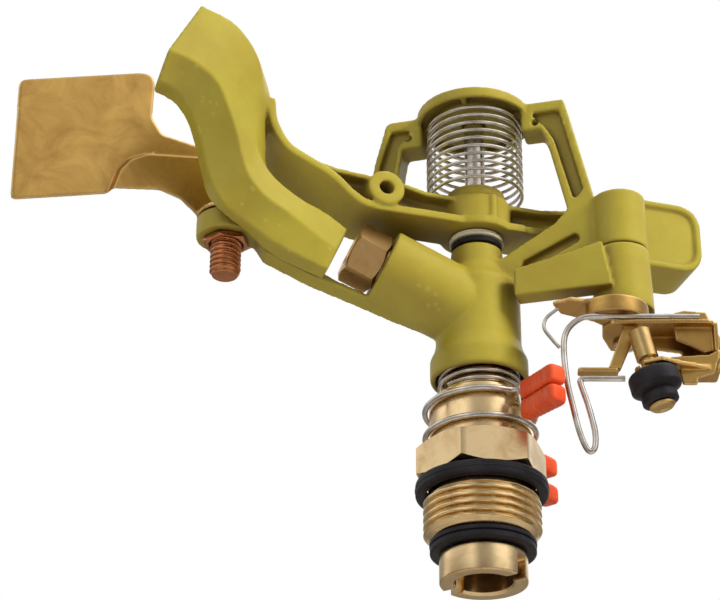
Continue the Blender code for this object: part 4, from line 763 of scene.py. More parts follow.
arm = {"hub": 8.2, "hubStep": 8.6, "hubHeight": 11.6, "hubNeck": 7.0, "bore": 4.8, "flangeThick": 2.0,
       "flangeLift": 0.2, "flangeNear": -7.0, "flangeFar": 5.0, "wingFar": 9.5, "wingThick": 1.8,
       "webHalf": 1.5, "rimDepth": 6.8, "rimThick": 1.3, "lugX": -24.6, "lugRise": 6.0, "lug": 4.4,
       "lugHole": 1.7, "weightIn": 38.0, "weightLength": 16.6, "weightDrop": 4.4, "weightHeight": 18.2,
       "weightNear": -8.5, "weightFar": 4.5, "weightCorner": 6.5, "weightRim": 1.6, "weightDish": 0.8,
       "ribTurn": -80.0, "ribHalf": 0.7, "skin": (0.36, 6)}

# Spoon of the arm from its tip to the end in front of the nozzle: left edge, ridge, right edge,
# depth of the back and how far the back's corner stands out, from the hub's lower face
spoonLine = [
    ((-81.4, -16.0, 19.0), (-80.2, -20.0, 25.0), (-72.4, -17.0, 40.9), 5.0, 0.4),
    ((-76.3, -14.0, 18.2), (-73.8, -19.5, 23.2), (-63.9, -16.0, 38.0), 5.0, 0.8),
    ((-72.6, -11.0, 16.2), (-67.8, -17.0, 20.5), (-57.8, -13.0, 32.6), 5.0, 2.0),
    ((-70.1, -8.5, 12.6), (-64.6, -15.0, 15.7), (-55.7, -10.5, 25.8), 5.0, 3.4),
    ((-68.4, -7.2, 7.8), (-61.9, -13.0, 10.6), (-56.3, -9.4, 20.2), 5.0, 3.8),
    ((-67.1, -6.4, 3.7), (-60.1, -11.5, 5.8), (-56.4, -8.8, 14.5), 4.8, 3.8),
    ((-65.6, -6.0, -0.4), (-58.0, -10.4, 1.3), (-55.4, -8.0, 9.3), 4.8, 3.0),
    ((-62.6, -5.8, -4.8), (-53.9, -9.2, -2.5), (-51.8, -7.2, 4.4), 3.2, 1.2),
    ((-57.0, -5.2, -8.1), (-48.6, -8.0, -4.8), (-45.3, -6.2, 0.4), 3.4, 0.4),
    ((-49.3, -4.6, -12.3), (-43.4, -6.8, -7.5), (-38.5, -5.6, -2.3), 5.0, 0.4),
    ((-37.7, -4.2, -16.4), (-35.9, -5.4, -11.5), (-33.2, -4.8, -5.2), 4.6, 0.4),
]


def makeSpoon():
    base = up * layout["hubLow"]
    tracks = [smoothPath([section[index] for section in spoonLine], 5) for index in range(3)]
    backs = smoothPath([(section[3], section[4], 0.0) for section in spoonLine], 5)
    rings = []
    for left, ridge, right, (back, side, spare) in zip(*tracks, backs):
        behind = Vector((0.0, back, 0.0))
        rings.append([left + base, ridge + base, right + base,
                      right + behind + Vector((side, 0.0, 0.0)) + base, left + behind + base])
    return loft("spoon", rings)


def weightOutline(margin):
    corner = arm["weightCorner"] - margin
    root = 0.0 if margin else 1.0
    low = layout["hubLow"] - arm["weightDrop"]
    left = arm["weightIn"] - margin
    right = arm["weightIn"] + arm["weightLength"] - margin
    top = low + arm["weightHeight"] - margin
    return rounded([(left, low + margin), (right, low + margin), (right, top), (left, top)],
                   [root, corner, corner, root], 8)


def makeArm():
    base = layout["hubLow"]
    low = base + arm["flangeLift"]
    hubTop = base + arm["hubHeight"]
    shoulder = base + arm["hubStep"]
    body = lathe("impactArm", [(0.0, hubTop), (arm["hubNeck"], hubTop), (arm["hubNeck"], shoulder),
                               (arm["hub"], shoulder), (arm["hub"], base), (0.0, base)], 128)
    flange = smoothPath([(10.0, low), (-12.0, low), (-27.0, low), (-32.5, low + 1.9), (-38.0, low + 6.6),
                         (-43.5, low + 9.4), (-49.0, low + 12.6), (-52.6, low + 18.6), (-53.6, low + 25.4)],
                        6)
    middle = (arm["flangeFar"] + arm["flangeNear"]) / 2.0
    sweep = prism("sweep", [thicken(flange, -arm["flangeThick"])], arm["flangeFar"] - arm["flangeNear"],
                  sideFrame((0.0, middle, 0.0)))
    near = arm["flangeFar"] - 1.0
    wing = prism("wing", [thicken(flange[12:], -arm["wingThick"])], arm["wingFar"] - near,
                 sideFrame((0.0, (arm["wingFar"] + near) / 2.0, 0.1)))
    bulge = pillar("hubBulge", arm["hub"] + 0.6, low - 0.1, low - 0.1 + arm["flangeThick"], sides=96)
    end = arm["weightIn"] + 2.0
    rear = prism("rearFlange", [[(0.0, -6.8), (12.0, -6.2), (end, -5.0), (end, 4.0), (0.0, 4.8)]],
                 arm["flangeThick"],
                 Matrix.Translation(up * (low + arm["flangeLift"] + arm["flangeThick"] / 2.0)))
    web = prism("web", [[(end, low + 1.0), (end, low + 9.6), (14.0, low + 7.6), (-14.0, low + 7.4),
                         (-20.0, low + 8.6), (-41.0, low + 9.3), (-44.0, low + 9.2), (-38.0, low + 7.4),
                         (-32.0, low + 2.6), (-27.0, low + 1.0)]], arm["webHalf"] * 2.0, sideFrame())
    rimPath = [(end, low + 10.8), (15.0, low + 6.9), (-14.0, low + 6.9), (-20.0, low + 8.2),
               (-36.0, low + 9.4), (-46.0, low + 11.6)]
    rim = prism("rim", [thicken(rimPath, -arm["rimThick"])], arm["rimDepth"], sideFrame((0.0, -1.4, 0.0)))
    lugZ = base + arm["lugRise"]
    lugNear = arm["flangeNear"] - 0.8
    lugFar = arm["flangeFar"] - 1.0
    lug = rod("lug", arm["lug"], (arm["lugX"], lugNear, lugZ), (arm["lugX"], lugFar, lugZ))
    rib = block("hubRib", (5.0, -arm["ribHalf"], base + 1.0),
                (arm["hub"] + 0.75, arm["ribHalf"], shoulder - 0.2),
                Matrix.Rotation(math.radians(arm["ribTurn"]), 4, "Z"))
    middle = (arm["weightFar"] + arm["weightNear"]) / 2.0
    weight = prism("weight", [weightOutline(0.0)], arm["weightFar"] - arm["weightNear"],
                   sideFrame((0.0, middle, 0.0)))
    body = addTo(body, sweep, wing, bulge, rear, web, rim, lug, makeSpoon(), rib, weight)
    # a shallow dish in the near side of the weight, and the holes of hub and lug
    dish = prism("weightDish", [weightOutline(arm["weightRim"])], arm["weightDish"] * 2.0,
                 sideFrame((0.0, arm["weightNear"], 0.0)))
    bore = pillar("hubBore", arm["bore"], base - 0.3, hubTop + 0.3)
    hole = rod("lugHole", arm["lugHole"], (arm["lugX"], lugNear - 0.3, lugZ),
               (arm["lugX"], lugFar + 0.3, lugZ))
    body = cutFrom(body, dish, bore, hole)
    dress(castSkin(body, *arm["skin"]), paint, "arm", "impact_arm", castAngle)


def makeArmSpring():
    size = {"mean": 11.2, "wire": 0.42, "low": 72.2, "high": 93.6, "turns": 10, "start": 27.0, "foot": 65.6}
    coil = helix(size["mean"], size["low"], size["high"], size["turns"], size["start"])
    tail = []    # the wire's lower end, which drops to the arm beside the hub
    for degrees, height in ((-6.5, size["foot"]), (-6.5, size["low"] - 1.6), (-6.2, size["low"] - 1.0),
                            (-5.0, size["low"] - 0.5), (-3.0, size["low"] - 0.2)):
        turn = math.radians(size["start"] + degrees)
        tail.append(Vector((size["mean"] * math.cos(turn), size["mean"] * math.sin(turn), height)))
    spring = wire("armSpring", tail + coil, size["wire"])
    spring.data.transform(Matrix.Scale(mm, 4))
    spring.data.materials.append(steel)
    spring.data.shade_smooth()
    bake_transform(spring)
    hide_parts("arm_spring")


makeArm()
makeArmSpring()
print("arm and spring made")


# Arm pin, the rings under and in the arm's hub, and the nozzle

def makePin():
    pin = {"radius": 2.4, "foot": 51.5, "head": 4.2, "headLow": 97.3, "headHigh": 99.1, "rim": 0.3}
    rows = [(0.0, pin["headHigh"])]
    edge = pin["headLow"] + pin["rim"]
    for step in range(1, 9):
        turn = math.radians(90.0 * step / 8.0)
        rows.append((pin["head"] * math.sin(turn), edge + (pin["headHigh"] - edge) * math.cos(turn)))
    rows += [(pin["head"], pin["headLow"]), (pin["radius"], pin["headLow"]),
             (pin["radius"], pin["foot"] + 0.4), (pin["radius"] - 0.4, pin["foot"]), (0.0, pin["foot"])]
    dress(lathe("armPin", rows, 64), steel, "turret", "arm_pin")
    # inner and outer radius, top, foot, rounding of the edges and faces round it
    rings = {"seal": (2.7, 6.0, 60.55, 59.3, 0.3, 80), "washer": (2.7, 6.4, 62.1, 60.85, 0.25, 80),
             "bush": (2.7, 4.2, 74.0, 62.4, 0.2, 64)}
    dress(washer("thrustSeal", *rings["seal"]), rubber, "turret", "thrust_seal")
    dress(washer("thrustWasher", *rings["washer"]), palePlastic, "turret", "thrust_washer")
    dress(washer("armBush", *rings["bush"]), palePlastic, "arm", "arm_bush")


def makeNozzle():
    size = {"flats": 12.6, "start": 25.7, "length": 8.0, "shank": 4.9, "shankBack": 9.0, "bore": 2.4,
            "entry": 4.0}
    turn = jet.to_track_quat("Z", "Y").to_matrix().to_4x4()
    place = Matrix.Translation(jetPoint(size["start"])) @ turn
    face = size["flats"] / 2.0 - 0.35
    rows = [(size["bore"], size["length"] - 1.3), (size["bore"] + 0.15, size["length"] - 1.2),
            (size["bore"] + 1.2, size["length"] - 0.15), (size["bore"] + 1.4, size["length"])]
    rows += hexRows(size["flats"], size["length"], 0.0, face, 0.6, 0.0)
    rows += [(size["shank"], 0.0), (size["shank"], -size["shankBack"]), (size["entry"], -size["shankBack"])]
    nozzle = lathe("nozzle", rows, 96, ring=True, place=place)
    dress(nozzle, nozzleBrass, "turret", "nozzle")


nozzleBrass = turnedMetal("nozzle brass", (0.84, 0.62, 0.30), (0.72, 0.40, 0.15),
                          turn=(0.0, math.radians(90.0 - layout["jetRise"]), 0.0))
makePin()
makeNozzle()
print("pin, washers and nozzle made")


# Deflector with its clamp screw and nut; outlines start from the screw's axis

deflector = {"thick": 1.0, "y": 3.4, "step": 2.6, "fade": 1.5, "tab": 7.0, "hole": 3.9, "firstSkin": (0.3, 2),
             "skin": (0.28, 3)}
plateLine = [(-50.2, 31.3), (-17.8, 40.0), (-18.2, 26.9), (-15.5, 22.7), (-4.0, 20.6), (-1.4, 14.4),
             (-5.0, 4.4), (-16.0, 6.0), (-27.6, 4.4), (-49.8, -1.2)]
plateCorners = [2.4, 3.4, 3.0, 2.0, 1.0, 1.0, 1.0, 1.0, 0.5, 1.2]
footLine = [(-27.4, 4.7), (-24.6, 12.0), (-19.8, 15.8), (-5.0, 18.0), (-2.0, 8.4), (0.4, 3.0), (0.4, 0.4),
            (-6.6, 0.4), (-8.0, 1.8), (-11.0, 4.4), (-16.6, 6.2)]


def insideBy(point, outline):
    # distance to an outline, above zero inside it
    x, z = point
    least = 1e9
    inside = False
    for index, (x1, z1) in enumerate(outline):
        x2, z2 = outline[(index + 1) % len(outline)]
        run = (x2 - x1) ** 2 + (z2 - z1) ** 2
        share = min(max(((x - x1) * (x2 - x1) + (z - z1) * (z2 - z1)) / run, 0.0), 1.0)
        least = min(least, math.hypot(x - x1 - (x2 - x1) * share, z - z1 - (z2 - z1) * share))
        if (z1 > z) != (z2 > z) and x < (x2 - x1) * (z - z1) / (z2 - z1) + x1:
            inside = not inside
    return least if inside else -least


def makeDeflector():
    thick = deflector["thick"]
    frameAt = sideFrame((eye.x, eye.y + deflector["y"] + thick / 2.0, layout["eyeTop"]))
    plate = prism("deflector", [rounded(plateLine, plateCorners)], thick, frameAt)
    foot = prism("deflectorFoot", [rounded(footLine, 1.0)], thick, frameAt)
    body = castSkin(addTo(plate, foot), *deflector["firstSkin"])
    fold = [(-27.6, 3.2), (-25.6, 10.2), (-23.4, 13.4), (-19.4, 15.6), (-4.6, 17.2), (14.0, 18.6),
            (14.0, -14.4), (-14.0, -14.4)]
    # what lies inside this outline is pressed forward, with a soft step along it
    fold = rounded(fold, [0.0, 3.0, 3.0, 3.0, 3.0, 0.0, 0.0, 0.0])
    for vertex in body.data.vertices:
        spot = (vertex.co.x - eye.x, vertex.co.z - layout["eyeTop"])
        vertex.co.y -= deflector["step"] * eased(insideBy(spot, fold) / deflector["fade"] + 0.5)
    low = layout["eyeTop"] + layout["gap"]
    tab = pillar("deflectorTab", deflector["tab"], low, low + thick, eye)
    body = addTo(body, tab)
    body = cutFrom(body, pillar("deflectorHole", deflector["hole"], low - 1.0, low + thick + 4.0, eye))
    dress(castSkin(body, *deflector["skin"]), sheet, "deflector_plate", "deflector", castAngle)

    screw = {"radius": 3.6, "depth": 0.5, "pitch": 1.25, "top": 62.2, "low": 46.3, "fade": 0.5, "step": 0.08}
    root = screw["radius"] - screw["depth"]
    rows = [(0.0, screw["top"]), (root, screw["top"])]
    rows += screwRows(root, screw["depth"], screw["pitch"], screw["top"] - 0.05, screw["low"] + 0.5,
                      screw["fade"], screw["step"])
    rows += [(root - 0.1, screw["low"] + 0.2), (root - 0.4, screw["low"]), (0.0, screw["low"])]
    dress(lathe("deflectorScrew", rows, 48, place=Matrix.Translation(eye)), copper, "turret",
          "deflector_screw")

    nut = {"flats": 9.6, "low": 54.3, "top": 55.7, "bore": 3.9}
    rows = [(nut["bore"], nut["top"] - 0.3), (nut["bore"] + 0.3, nut["top"])]
    rows += hexRows(nut["flats"], nut["top"], nut["low"], nut["flats"] / 2.0 - 0.2, 0.55, 0.0)
    rows += [(nut["bore"] + 0.3, nut["low"]), (nut["bore"], nut["low"] + 0.3)]
    dress(lathe("deflectorNut", rows, 96, ring=True, place=Matrix.Translation(eye)), copper, "turret",
          "deflector_nut")


makeDeflector()
print("deflector made")


# Trip on its pin under the bridge; its sheet parts have a frame of their own

trip = {"sleeveTop": 53.9, "sleeveLow": 38.0, "sleeveRadius": 7.0, "sleeveTopRadius": 6.5, "near": -4.1,
        "thick": 5.0, "space": 1.9, "plateThick": 1.0, "bracketTop": 32.0, "bracketLow": 20.5,
        "sheetThick": 1.0, "wire": 0.68, "toggleWire": 0.4, "stopHeight": 17.0, "post": (3.5, -10.4),
        "postLean": -0.23, "leverSkin": (0.36, 6), "sheetSkin": (0.25, 4)}


def byTrip(first, second, height):
    return tripAxis + tripU * first + tripV * second + up * height


def tripPlan(height):
    return flatFrame(tripU, tripV, tripAxis + up * height)


def tripSide(second):
    return flatFrame(tripU, up, tripAxis + tripV * second)


def makeLever():
    low = trip["sleeveLow"]
    sleeve = pillar("tripLever", trip["sleeveRadius"], low, trip["sleeveTop"], tripAxis, 96,
                    trip["sleeveTopRadius"])
    tooth = [(-23.6, low + 3.6), (-23.6, low + 10.6), (-10.0, low + 13.4), (-3.0, low + 15.4),
             (-1.0, low + 3.6)]
    middle = trip["near"] - trip["thick"] / 2.0
    body = addTo(sleeve, prism("leverTooth", [rounded(tooth, 0.8)], trip["thick"],
                               bridgeFrame(middle, tripAxis)))
    body = cutFrom(body, pillar("leverBore", trip["space"], low - 0.3, trip["sleeveTop"] + 0.3, tripAxis))
    dress(castSkin(body, *trip["leverSkin"]), paint, "trip_toggle", "trip_lever", castAngle)

    high = low - layout["gap"]
    bend = {"centre": -3.0, "outer": 8.2, "inner": 7.2, "start": 215.0, "end": 350.0, "deep": 3.7,
            "below": 0.3}

    def arc(reach, first, count):
        turns = [math.radians(first + (bend["end"] - first) * step / count) for step in range(count + 1)]
        return [(bend["centre"] + reach * math.cos(turn), bend["centre"] + reach * math.sin(turn))
                for turn in turns]

    shelf = [(-17.0, -7.4), (-13.0, -9.8), (-9.8, -8.8)] + arc(bend["outer"], 228.0, 16)
    shelf += [(5.6, 1.5), (-1.6, 5.6), (-7.0, 0.9), (-14.8, -2.9)]
    skirt = arc(bend["outer"], bend["start"], 36) + list(reversed(arc(bend["inner"], bend["start"], 36)))
    thick = trip["plateThick"]
    plate = prism("tripPlate", [shelf], thick, tripPlan(high - thick / 2.0))
    plate = addTo(plate, prism("plateSkirt", [skirt], bend["deep"],
                               tripPlan(high - bend["below"] - bend["deep"] / 2.0)))
    plate = cutFrom(plate, pillar("plateBore", trip["space"], high - thick - 0.3, high + 0.3, tripAxis))
    dress(castSkin(plate, *trip["sheetSkin"]), sheet, "trip_toggle", "trip_plate", castAngle)

    foot = trip["bracketTop"] - trip["sheetThick"] - layout["gap"]
    pin = {"radius": 1.6, "head": 2.9, "top": 68.0}
    rows = [(0.0, foot - 1.5), (1.4, foot - 1.45), (2.3, foot - 1.2), (pin["head"], foot - 0.6),
            (pin["head"], foot), (pin["radius"], foot), (pin["radius"], pin["top"] - 0.3),
            (pin["radius"] - 0.3, pin["top"]), (0.0, pin["top"])]
    dress(lathe("tripPin", rows, 48, place=Matrix.Translation(tripAxis)), steel, "turret",
          "trip_pin")


def makeBracket():
    top = trip["bracketTop"]
    low = trip["bracketLow"]
    thick = trip["sheetThick"]
    shelf = [(-6.0, -7.0), (-4.0, -9.5), (10.0, -10.0), (18.0, -10.0), (20.0, -7.0), (16.0, -2.0),
             (5.0, 4.5), (-3.0, 4.5), (-5.5, -2.0)]
    upright = [(10.0, 34.6), (12.5, 35.3), (17.3, 34.8), (20.5, 27.6), (20.2, 25.6), (16.5, 24.6),
               (13.6, 26.4), (10.2, 28.0), (9.8, 31.0)]
    front = [(8.2, 22.6), (17.0, 23.2), (19.8, 24.8), (19.1, 22.0), (18.0, 18.7), (14.4, 17.5),
             (14.0, 15.9), (10.8, 15.9), (10.2, 19.5)]
    floorLine = [(0.5, -8.0), (2.0, -12.5), (6.0, -14.5), (9.0, -13.0), (19.5, -9.0), (19.5, -3.0),
                 (2.0, -3.0)]
    rear = [(5.0, 31.5), (19.0, 31.5), (19.0, 20.0), (12.0, 20.0), (12.0, 27.0), (5.0, 28.0)]
    endWall = [(-9.2, 31.5), (-2.0, 31.5), (-2.0, 20.0), (-9.2, 20.0)]
    brace = [(-1.2, 31.5), (2.4, 31.5), (-2.6, 20.0), (-5.4, 20.0)]
    footLine = [(-12.0, -9.0), (-3.0, -9.0), (-3.0, -6.0), (-12.0, -6.0)]
    # how far off the trip's axis each wall stands
    wall = {"end": 19.0, "front": -9.4, "upright": -7.3, "rear": -2.6, "brace": -7.6}
    body = prism("tripBracket", [rounded(shelf, 1.0)], thick, tripPlan(top - thick / 2.0))
    pieces = [prism("bracketFloor", [rounded(floorLine, 0.8)], thick, tripPlan(low - thick / 2.0)),
              prism("bracketEnd", [endWall], thick, flatFrame(tripV, up, byTrip(wall["end"], 0.0, 0.0))),
              prism("bracketFront", [rounded(front, 0.4)], thick, tripSide(wall["front"])),
              prism("bracketUpright", [rounded(upright, 0.4)], thick, tripSide(wall["upright"])),
              prism("bracketRear", [rear], thick, tripSide(wall["rear"])),
              prism("bracketBrace", [brace], thick, tripSide(wall["brace"])),
              prism("bracketFoot", [rounded(footLine, 0.6)], thick, tripPlan(low - thick / 2.0 - 0.1))]
    body = addTo(body, *pieces)
    post = byTrip(*trip["post"], low)
    line = (tripU * trip["postLean"] + up).normalized()
    postFrame = flatFrame(tripV.cross(line), tripV, post)
    body = cutFrom(body, pillar("bracketHole", trip["space"], top - thick - 0.3, top + 0.3, tripAxis),
                   rod("postHole", 2.1, post - line * 2.0, post + line))
    dress(castSkin(body, *trip["sheetSkin"]), sheet, "trip_feeler", "trip_bracket", castAngle)

    # bumper and post are drawn along the post's own line, up and down from the bracket's floor
    high = -2.4
    rim = high - 7.6
    wide, narrow, hole = 5.7, 4.1, 2.1
    profile = rounded([(hole, high), (wide, high), (wide, high - 4.0), (4.5, high - 4.6), (3.6, high - 5.0),
                       (narrow, high - 5.5), (narrow, rim + 0.4), (3.4, rim), (hole, rim)],
                      [0.2, 1.2, 0.7, 0.3, 0.4, 0.3, 0.4, 0.3, 0.1])
    bumper = lathe("tripBumper", profile, 80, ring=True, place=postFrame)
    dress(bumper, rubber, "trip_feeler", "trip_bumper")

    rivet = rim - layout["gap"]
    rows = [(0.0, 8.3), (2.2, 8.3), (2.5, 8.0), (2.5, 1.2), (2.2, 0.9), (1.8, 0.9), (1.8, rivet),
            (2.9, rivet), (2.9, rivet - 0.4), (2.4, rivet - 0.8), (1.2, rivet - 0.9), (0.9, rivet - 0.7),
            (0.0, rivet - 0.7)]
    dress(lathe("bumperPost", rows, 64, place=postFrame), postBrass, "trip_feeler", "bumper_post")


def makeTripWires():
    lift = trip["bracketTop"] + layout["gap"] + 0.65    # the wire lies on the bracket's shelf
    stop = trip["stopHeight"]
    low = trip["bracketLow"] - 3.0
    side = -9.0
    route = [(15.6, lift), (0.0, lift), (-8.5, lift), (-11.7, lift - 1.0), (-14.2, lift - 3.8),
             (-15.0, lift - 8.0), (-14.6, stop), (-13.6, stop - 6.0), (-12.4, stop - 12.1),
             (-11.2, stop - 15.8), (-10.1, stop - 17.1), (-9.1, stop - 15.8), (-9.0, stop - 12.1),
             (-10.2, stop - 6.0), (-11.6, low - 1.4), (-11.4, low - 0.3), (-10.2, low), (-5.0, low),
             (-1.8, low)]
    route = [(first, side, height) for first, height in route]
    loop = wire("tripWire", smoothPath([byTrip(*point) for point in route], 10), trip["wire"], 6)
    dress(loop, steel, "trip_feeler", "trip_wire")
    high = trip["sleeveLow"]
    route = [(-15.7, -7.0, high - 2.0), (-18.4, -6.9, high - 4.4), (-19.0, -6.9, high - 7.0),
             (-17.4, -7.1, high - 9.8), (-15.8, -7.3, high - 12.0)]
    bow = wire("toggleSpring", smoothPath([byTrip(*point) for point in route], 10), trip["toggleWire"])
    dress(bow, steel, "trip_feeler", "toggle_spring")


postMiddle = byTrip(4.2, trip["post"][1], 0.0) * mm
postBrass = turnedMetal("post brass", (0.74, 0.52, 0.22), (0.54, 0.35, 0.13),
                        shift=(-postMiddle.x, -postMiddle.y, 0.0))
makeLever()
makeBracket()
makeTripWires()
print("trip made")


# Stop clips, set by hand round the nipple's stem

clip = {"wire": 0.68, "mean": 12.55, "pitch": 1.9, "tabIn": 16.2, "tabOut": 28.0, "tabHeight": 4.5,
        "rootWidth": 3.4, "tipWidth": 4.6, "socket": 4.0, "corner": 1.1, "ribs": 6, "ribStart": 1.3,
        "ribPitch": 1.25, "ribShare": 0.955}


def clipPath(height, azimuth, sag, spread):
    # from the lower tab inwards, once round the stem, and out to the upper tab
    half = clip["pitch"] / 2.0
    points = []

    def at(radius, degrees, rise):
        turn = math.radians(azimuth + degrees)
        points.append(Vector((radius * math.cos(turn), radius * math.sin(turn), height + rise)))

    end = clip["tabIn"] + clip["socket"] - 0.3
    mean = clip["mean"]
    near = clip["tabIn"] - 0.4
    for radius, degrees, rise in ((end, 0.0, -sag - spread), (near, 0.0, -sag - spread),
                                  (mean + 2.0, 0.0, -half - 0.2), (mean + 0.9, 0.8, -half),
                                  (mean + 0.25, 4.0, -half)):
        at(radius, degrees, rise)
    steps = 24
    for step in range(steps + 1):
        share = step / steps
        at(mean, 9.0 + share * 342.0, -half + share * clip["pitch"])
    for radius, degrees, rise in ((mean + 0.25, 356.0, half), (mean + 0.9, 359.2, half),
                                  (mean + 2.0, 360.0, half + 0.2), (near, 360.0, spread - sag),
                                  (end, 360.0, spread - sag)):
        at(radius, degrees, rise)
    return smoothPath(points, 6)


def tabRing(distance, width, height):
    # rounded rectangle square to the tab's length
    side, rise = width / 2.0, height / 2.0
    corner = min(clip["corner"], width / 2.05, height / 2.05)
    outline = rounded([(-side, -rise), (side, -rise), (side, rise), (-side, rise)], corner)
    return [Vector((distance, first, second)) for first, second in outline]


def makeTab(name, middle, turn):
    inner = clip["tabIn"]
    length = clip["tabOut"] - inner
    # distance along the tab, and its section there as a share of the full one
    sections = [(0.0, 0.80), (0.12, 0.90), (0.35, 0.97), (0.7, 1.0)]
    for index in range(clip["ribs"]):
        start = clip["ribStart"] + index * clip["ribPitch"]
        sections += [(start, 1.0), (start + 0.25, clip["ribShare"]), (start + 0.5, clip["ribShare"]),
                     (start + 0.75, 1.0)]
    sections += [(length - 2.0, 1.0), (length - 1.3, 0.985), (length - 0.75, 0.94), (length - 0.35, 0.86),
                 (length - 0.1, 0.74), (length, 0.60)]
    rings = []
    for distance, share in sections:
        width = clip["rootWidth"] + (clip["tipWidth"] - clip["rootWidth"]) * distance / length
        rings.append(tabRing(inner + distance, width * share, clip["tabHeight"] * share))
    tab = loft(name, rings)
    tab.data.transform(Matrix.Translation(middle) @ turn)
    out = turn @ Vector((1.0, 0.0, 0.0))
    hole = rod("tabSocket", clip["wire"] + 0.3, out * (inner - 0.3) + middle,
               out * (inner + clip["socket"]) + middle, 32)
    return cutFrom(tab, hole, solver="EXACT")


def makeClip(side, body, height, azimuth, sag, spread):
    dress(wire(side + "StopClip", clipPath(height, azimuth, sag, spread), clip["wire"], 6), steel, body,
          side + "_stop_clip")
    turn = Matrix.Rotation(math.radians(azimuth), 4, "Z")
    for level, rise in (("Lower", -spread), ("Upper", spread)):
        tab = makeTab(side + "Tab" + level, up * (height - sag + rise), turn)
        dress(tab, redPlastic, body, side + "_tab_" + level.lower(), angle=45.0)


# height on the stem, angle round it, how far the ends hang down and half of how far they stand apart
clips = {"near": (17.0, -72.0, 3.0, 2.4), "far": (11.0, 34.0, 1.7, 3.5)}
makeClip("near", "near_clip", *clips["near"])
makeClip("far", "far_clip", *clips["far"])
print("stop clips made")


# Camera, light and floor

# degrees, millimetres and pixels; pixel is where the target stands in the picture
view = {"azimuth": -16.93, "elevation": -28.12, "roll": 0.31, "distance": 521.72, "target": (0.0, 0.0, 40.0),
        "pixel": (478.2, 324.7), "centre": (360.0, 300.0), "focal": 2250.0, "width": 720.0, "sensor": 36.0}


def makeCamera():
    turn = math.radians(view["azimuth"])
    lift = math.radians(view["elevation"])
    roll = math.radians(view["roll"])
    back = Vector((math.sin(turn) * math.cos(lift), -math.cos(turn) * math.cos(lift), math.sin(lift)))
    right = Vector((math.cos(turn), math.sin(turn), 0.0))
    above = back.cross(right)
    rolledRight = right * math.cos(roll) + above * math.sin(roll)
    rolledUp = above * math.cos(roll) - right * math.sin(roll)
    perPixel = view["distance"] / view["focal"]
    spot = Vector(view["target"]) + back * view["distance"]
    spot -= rolledRight * (view["pixel"][0] - view["centre"][0]) * perPixel
    spot += rolledUp * (view["pixel"][1] - view["centre"][1]) * perPixel
    lens = bpy.data.cameras.new("photoCamera")
    lens.sensor_width = view["sensor"]
    lens.lens = view["focal"] * view["sensor"] / view["width"]
    lens.clip_start = 0.01
    camera = putIn("photoCamera", lens)
    turned = Matrix((rolledRight, rolledUp, back)).transposed().to_4x4()
    camera.matrix_world = Matrix.Translation(spot * mm) @ turned
    bpy.context.scene.camera = camera


studio = {"floorZ": -0.60, "floorSize": 3.0, "floorTint": (0.74, 0.70, 0.64),
          "floorSpeck": (0.71, 0.67, 0.61), "floorGlow": 0.55, "glowTint": (1.0, 0.98, 0.95, 1.0),
          "ambient": 0.19, "warmth": (1.0, 0.93, 0.84), "bandTint": (1.0, 0.98, 0.95),
          "aim": (0.0, 0.0, 0.05), "lampShape": 0.7}

lamps = {
    "keyLamp": {"spot": (0.66, -0.80, 0.66), "width": 0.45, "power": 15.6, "tint": (1.0, 0.975, 0.93)},
    "fillLamp": {"spot": (-0.80, -0.62, 0.02), "width": 0.6, "power": 2.9},
    "topLamp": {"spot": (0.1, 0.15, 1.0), "width": 0.7, "power": 3.0},
    "backLamp": {"spot": (-0.2, 0.9, 0.35), "width": 0.7, "power": 3.0},
}

# what metal sees: bright above, dim towards the floor, with soft upright bands from side to side
# each pair is the direction, from -1 to 1 along the axis, and the brightness there
bands = {
    "Z": ((-1.0, 0.30), (-0.45, 0.22), (-0.05, 0.50), (0.25, 0.62), (0.6, 1.1), (1.0, 1.2)),
    "X": ((-1.0, 0.55), (-0.72, 1.35), (-0.45, 0.45), (0.0, 0.62), (0.3, 1.5), (0.62, 1.7), (0.85, 0.5),
          (1.0, 0.35)),
}


def makeLamp(name, spot, width, power, tint=(1.0, 1.0, 1.0)):
    lamp = bpy.data.lights.new(name, "AREA")
    lamp.shape = "RECTANGLE"
    lamp.size = width
    lamp.size_y = width * studio["lampShape"]
    lamp.energy = power
    lamp.color = tint
    item = putIn(name, lamp)
    item.visible_glossy = False    # metal sees the world's soft bands instead
    item.location = spot
    item.rotation_euler = (Vector(studio["aim"]) - Vector(spot)).to_track_quat("-Z", "Y").to_euler()


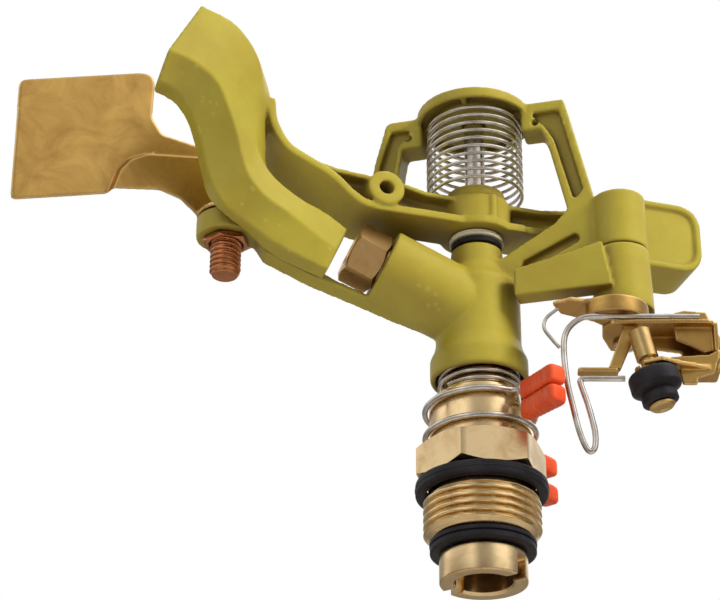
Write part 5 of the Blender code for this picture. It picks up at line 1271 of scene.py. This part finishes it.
def makeFloor():
    work = bmesh.new()
    bmesh.ops.create_grid(work, x_segments=1, y_segments=1, size=studio["floorSize"])
    bmesh.ops.translate(work, vec=(0.0, 0.0, studio["floorZ"]), verts=work.verts)
    floor = fromWork("studioFloor", work)
    finish = newFinish("pale floor", 0.8)
    speck = grain(finish, place3d(finish), 40.0, 3.0)
    feed(finish, "Base Color", mix(finish, speck, studio["floorTint"], studio["floorSpeck"]))
    # it looks pale to the camera, and lights nothing
    seen = addNode(finish, "ShaderNodeLightPath").outputs["Is Camera Ray"]
    feed(finish, "Emission Strength", calc(finish, "MULTIPLY", seen, studio["floorGlow"]))
    setOwn(finish, "Emission Color", studio["glowTint"])
    floor.data.materials.append(finish)


def makeWorld():
    world = bpy.data.worlds.new("studioWorld")
    bpy.context.scene.world = world
    world.use_nodes = True
    world.node_tree.nodes.clear()
    around = addNode(world, "ShaderNodeTexCoord").outputs["Generated"]
    split = addNode(world, "ShaderNodeSeparateXYZ", {"Vector": around})
    shades = []
    for axis, steps in bands.items():
        share = addNode(world, "ShaderNodeMapRange", {"Value": split.outputs[axis], "From Min": -1.0})
        steps = [((spot + 1.0) / 2.0, value) for spot, value in steps]
        shades.append(ramp(world, share.outputs["Result"], *steps))

    def sky(tint, strength):
        sockets = {"Color": (*tint, 1.0), "Strength": strength}
        return addNode(world, "ShaderNodeBackground", sockets).outputs[0]

    rays = addNode(world, "ShaderNodeLightPath").outputs
    light = sky(studio["warmth"], studio["ambient"])
    white = sky((1.0, 1.0, 1.0), 1.0)
    reflected = sky(studio["bandTint"], calc(world, "MULTIPLY", *shades))
    for ray, seen in (("Is Glossy Ray", reflected), ("Is Transmission Ray", white), ("Is Camera Ray", white)):
        light = addNode(world, "ShaderNodeMixShader", {0: rays[ray], 1: light, 2: seen}).outputs[0]
    addNode(world, "ShaderNodeOutputWorld", {"Surface": light})


makeCamera()
makeFloor()
makeWorld()
for name, lamp in lamps.items():
    makeLamp(name, **lamp)
bpy.context.scene.view_settings.view_transform = "Standard"
print("camera and studio made")
